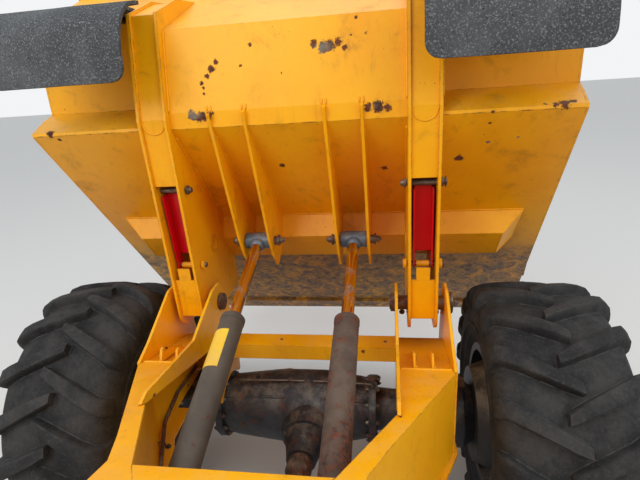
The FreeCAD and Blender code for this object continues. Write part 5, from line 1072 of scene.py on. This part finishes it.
for x, wide in ((-120, 70), (120, 62)):
    lean = Matrix.Rotation(math.radians(38), 3, "X")
    middle = at(x, -1604, 935)
    pedals.slab([middle + lean @ Vector((u, v, 0)) / 1000 for u, v in rounded(wide, 96, 12)], 9, 2)
    for i in range(6):
        rib = middle + lean @ Vector((0, -36 + 14 * i, 10)) / 1000
        pedals.tube([rib + Vector((s * wide * 0.4, 0, 0)) / 1000 for s in (-1, 1)], 2.2, 8)
    pedals.tube([middle, at(x, -1572, 900), at(x, -1545, 862)], 7, 12)
pedals.make("pedals", BLACK_RUBBER, "rear", "rubber")

# %% [markdown]
# Lamps get round lenses in bezels in front, and red and amber lenses behind. The hood has two
# draw latches, a grab handle and a grille of thin bars.

# %% Lamps, hood and roll bar
bezels, clear, red, amber = Shape(), Shape(), Shape(), Shape()
for sign in (-1, 1):
    front = at(sign * 490, -1460, 901)
    bezels.lathe(front, (0, 1, 0), ((-6, 50), (4, 50), (8, 46), (5, 41), (-6, 41)), 40, loop=True)
    clear.lathe(front, (0, 1, 0), ((-2, 41.5), (3, 40), (8, 26), (10, 12), (10.4, 0.5)), 36)
    rear_lamp = [(sign * 430 + x, y) for x, y in rounded(112, 54, 8)]
    bezels.slab([at(x, -3578, 850 + y) for x, y in rear_lamp], 3 * 1, 1)
    for shape, x in ((red, 26), (amber, -26)):
        rows = []
        for depth, s in ((3, 1.0), (8, 0.98), (11, 0.9), (12.5, 0.6)):
            rows.append([at(sign * (430 + x) + u * s, -3578 - depth + 1.5, 850 + v * s)
                         for u, v in rounded(50, 46, 6)])
        shape.rings(rows)
bezels.make("lamp_bezels", BLACK_PLASTIC, "rear", "plastic")
clear.make("front_lamp_lenses", CLEAR_LENS, "rear", "plastic", smooth=60)
red.make("tail_lamp_red", RED_LENS, "rear", "plastic", smooth=60)
amber.make("tail_lamp_amber", AMBER_LENS, "rear", "plastic", smooth=60)

grille = Shape()
for i in range(7):
    z = 1053 + 45 * i
    for x in range(-300, 301, 60):
        grille.tube([at(x, -3397, z - 15), at(x, -3397, z + 15)], 1.8, 6)
grille.make("hood_grille_bars", BLACK_IRON, "engine_hood", "steel")
latches = Shape()
for sign in (-1, 1):
    latches.slab([at(sign * 501, -2440 + y, 1030 + z) for y, z in rounded(44, 86, 8)], 3 * sign, 0.8)
    latches.tube([at(sign * 507, -2452, 1058), at(sign * 512, -2452, 1010), at(sign * 512, -2428, 1010),
                  at(sign * 507, -2428, 1058)], 3, 8)
    latches.lathe(at(sign * 503, -2440, 1062), (sign, 0, 0), ((0, 9), (8, 9), (10, 6)), 18)
latches.tube(smooth_path([at(-90, -2620, 1550), at(-90, -2620, 1590), at(-60, -2620, 1600), at(60, -2620, 1600),
                          at(90, -2620, 1590), at(90, -2620, 1550)], 5), 8, 12)
latches.make("hood_latches", BLACK_IRON, "engine_hood", "steel")
bar = Shape()
for sign in (-1, 1):
    for out in (-1, 1):
        face = at(sign * 470 + out * 45, -2290, 1800)
        bar.nut(face + Vector((out * 0.0, 0, 0)), (out, 0, 0), 28)
    bar.slab([at(sign * 470 + x, -2290 + y, 846.5) for x, y in rounded(130, 82, 10)], 8, 1.5)
    for x in (-52, 52):
        bar.nut(at(sign * 470 + x, -2290, 854.5), (0, 0, 1), 17)
bar.make("roll_bar_bolts", PIN_STEEL, "rear", "steel")
grip = Shape()
for sign in (-1, 1):
    grip.tube(smooth_path([at(sign * 505, -2275, 1250), at(sign * 548, -2268, 1262), at(sign * 552, -2266, 1300),
                           at(sign * 552, -2266, 1560), at(sign * 548, -2268, 1598), at(sign * 505, -2275, 1610)],
                          6), 11, 14)
grip.make("grab_handles", BLACK_IRON, "rear", "steel")

# %% [markdown]
# Last come the small things of the rear half and of the frame: caps, clamps, tread studs, the rolled edges of the
# mudguards, pipe clips, a blank plate and the bolts that hold it, and gussets for the forks.

# %% Small parts
small = Shape()
for x, z in ((-476, 840), (476, 840)):
    small.lathe(at(x, -1840, z - 2), (0, 0, 1), ((0, 38), (6, 38), (8, 34), (24, 34), (28, 30), (29, 0.5)), 30)
for z in (1296, 1400, 1620, 1712):
    small.lathe(at(-590, -2400, z), (0, 0, 1), ((-9, 55.5), (-9, 58), (9, 58), (9, 55.5)), 40, loop=True)
small.tube([at(-622, -2400, 2131), at(-590, -2430, 2134), at(-558, -2400, 2136), at(-590, -2370, 2134)], 3, 8)
small.lathe(at(-590, -2400, 2130), (0.15, 0, 1), ((0, 34), (3, 34), (4, 30), (4, 0.5)), 30)
small.make("caps_and_clamps", BLACK_IRON, "rear", "steel")
treads = Shape()
for sign in (-1, 1):
    for i in range(4):
        for k in range(6):
            place = at(sign * (662 + 36 * i), -1855 + 42 * k, 446)
            treads.lathe(place, (0, 0, 1), ((-1, 13), (3, 9), (5, 7.5), (5, 5), (-1, 5)), 14, loop=True)
treads.make("step_studs", REAR_PAINT, "rear", "yellow")
edges = Shape()
for sign in (-1, 1):
    arc = [at(0, -2500 + 663 * math.cos(math.radians(a)), 585 + 663 * math.sin(math.radians(a)))
           for a in [18 + 18 * i for i in range(9)]]
    for x in (1216, ):
        edges.tube([p + Vector((sign * x / 1000, 0, 0)) for p in arc], 6, 10)
edges.make("mudguard_edges", REAR_PAINT, "rear", "yellow")
plates = Shape()
plates.slab([at(x, -3580, 760 + z) for x, z in rounded(260, 66, 8)], 3, 1)
for x in (-110, 110):
    plates.nut(at(x, -3583, 760), (0, -1, 0), 10, washer=False, stud=False)
plates.make("blank_plate", BLANK_WHITE, "rear", "plastic")

clips = Shape()
for x, y in ((-543, -410), (-430, -640), (-340, -830)):
    clips.tube([at(x - 12, y - 6, 700), at(x - 12, y - 6, 730), at(x + 6, y, 734), at(x + 16, y + 4, 722),
                at(x + 16, y + 4, 701)], 3, 8)
    clips.nut(at(x + 26, y + 8, 701), (0, 0, 1), 13)
for sign in (-1, 1):
    for z in (760, 1160):
        for x in (90, 200):
            clips.nut(at(sign * x, -1104.5, z), (0, 1, 0), 22)
clips.make("frame_bolts", PIN_STEEL, "front", "steel")
gussets = Shape()
for sign in (-1, 1):
    for x in (458, 523):
        gussets.slab([at(sign * x, y, z) for y, z in ((-322, 1049), (-300, 1092), (-288, 1094), (-150, 1012),
                                                      (-150, 1000))], 9 * sign, 2)
gussets.make("fork_gussets", FRAME_PAINT, "front", "yellow", smooth=30)
print("pieces", len(MADE), "faces", sum(len(p.data.polygons) for p in MADE))

# %% [markdown]
# The camera stands where the photographer stood, over the steering wheel and a little to the
# right, looking forward and down. The floor is plain and pale, and large soft lamps light the
# machine from above and behind the camera as an overcast bright day does.

# %% Camera
camera_data = bpy.data.cameras.new("camera")
camera_data.sensor_width = 36
camera_data.lens = 25.875
camera_data.clip_start = 0.02
camera = bpy.data.objects.new("camera", camera_data)
camera.location = (0.38, AXLE_AHEAD - 1.714, 2.095)
camera.rotation_euler = [math.radians(a) for a in (68.874, 4.009, 7.976)]
bpy.context.scene.collection.objects.link(camera)
bpy.context.scene.camera = camera

# %% [markdown]
# The floor is matt and pale. Three large soft lamps stand behind, beside and before the machine,
# and a plain level sky fills the shadows. What the lens sees past the floor stays a pale grey.

# %% Floor, lamps and world


def flat_colour(name, colour, rough):
    material = bpy.data.materials.new(name)
    material.use_nodes = True
    shader = material.node_tree.nodes["Principled BSDF"]
    shader.inputs["Base Color"].default_value = colour
    shader.inputs["Roughness"].default_value = rough
    return material


bpy.ops.mesh.primitive_plane_add(size=60, location=(0, 0, -0.001))
floor = bpy.context.object
floor.name = "floor"
floor.data.materials.append(flat_colour("floor_pale", rgb(214, 213, 210), 0.9))

LAMPS = (
    # place, aim, size, watts
    ((-3.0, -4.0, 6.0), (0.0, 1.2, 1.4), 4.0, 215),
    ((4.5, -2.0, 6.0), (0.2, 1.0, 1.2), 5.0, 130),
    ((0.5, 4.5, 8.0), (0.0, 0.5, 1.0), 6.0, 105),
)
for i, (place, aim, size, watts) in enumerate(LAMPS):
    lamp_data = bpy.data.lights.new("lamp%d" % i, "AREA")
    lamp_data.size = size
    lamp_data.energy = watts
    lamp = bpy.data.objects.new("lamp%d" % i, lamp_data)
    lamp.location = place
    lamp.rotation_euler = (Vector(aim) - Vector(place)).to_track_quat("-Z", "Y").to_euler()
    bpy.context.scene.collection.objects.link(lamp)

world = bpy.data.worlds.new("world")
bpy.context.scene.world = world
world.use_nodes = True
tree = world.node_tree
tree.nodes.clear()
rays = tree.nodes.new("ShaderNodeLightPath")
seen = tree.nodes.new("ShaderNodeMath")
seen.operation = "MAXIMUM"
tree.links.new(rays.outputs["Is Camera Ray"], seen.inputs[0])
tree.links.new(rays.outputs["Is Glossy Ray"], seen.inputs[1])
sky = tree.nodes.new("ShaderNodeBackground")
sky.inputs["Color"].default_value = (0.92, 0.96, 1.0, 1)
sky.inputs["Strength"].default_value = 0.78
pale = tree.nodes.new("ShaderNodeBackground")
pale.inputs["Color"].default_value = (0.90, 0.91, 0.92, 1)
pale.inputs["Strength"].default_value = 1.0
choose = tree.nodes.new("ShaderNodeMixShader")
out = tree.nodes.new("ShaderNodeOutputWorld")
tree.links.new(seen.outputs[0], choose.inputs[0])
tree.links.new(sky.outputs[0], choose.inputs[1])
tree.links.new(pale.outputs[0], choose.inputs[2])
tree.links.new(choose.outputs[0], out.inputs[0])
bpy.context.scene.view_settings.view_transform = "Standard"
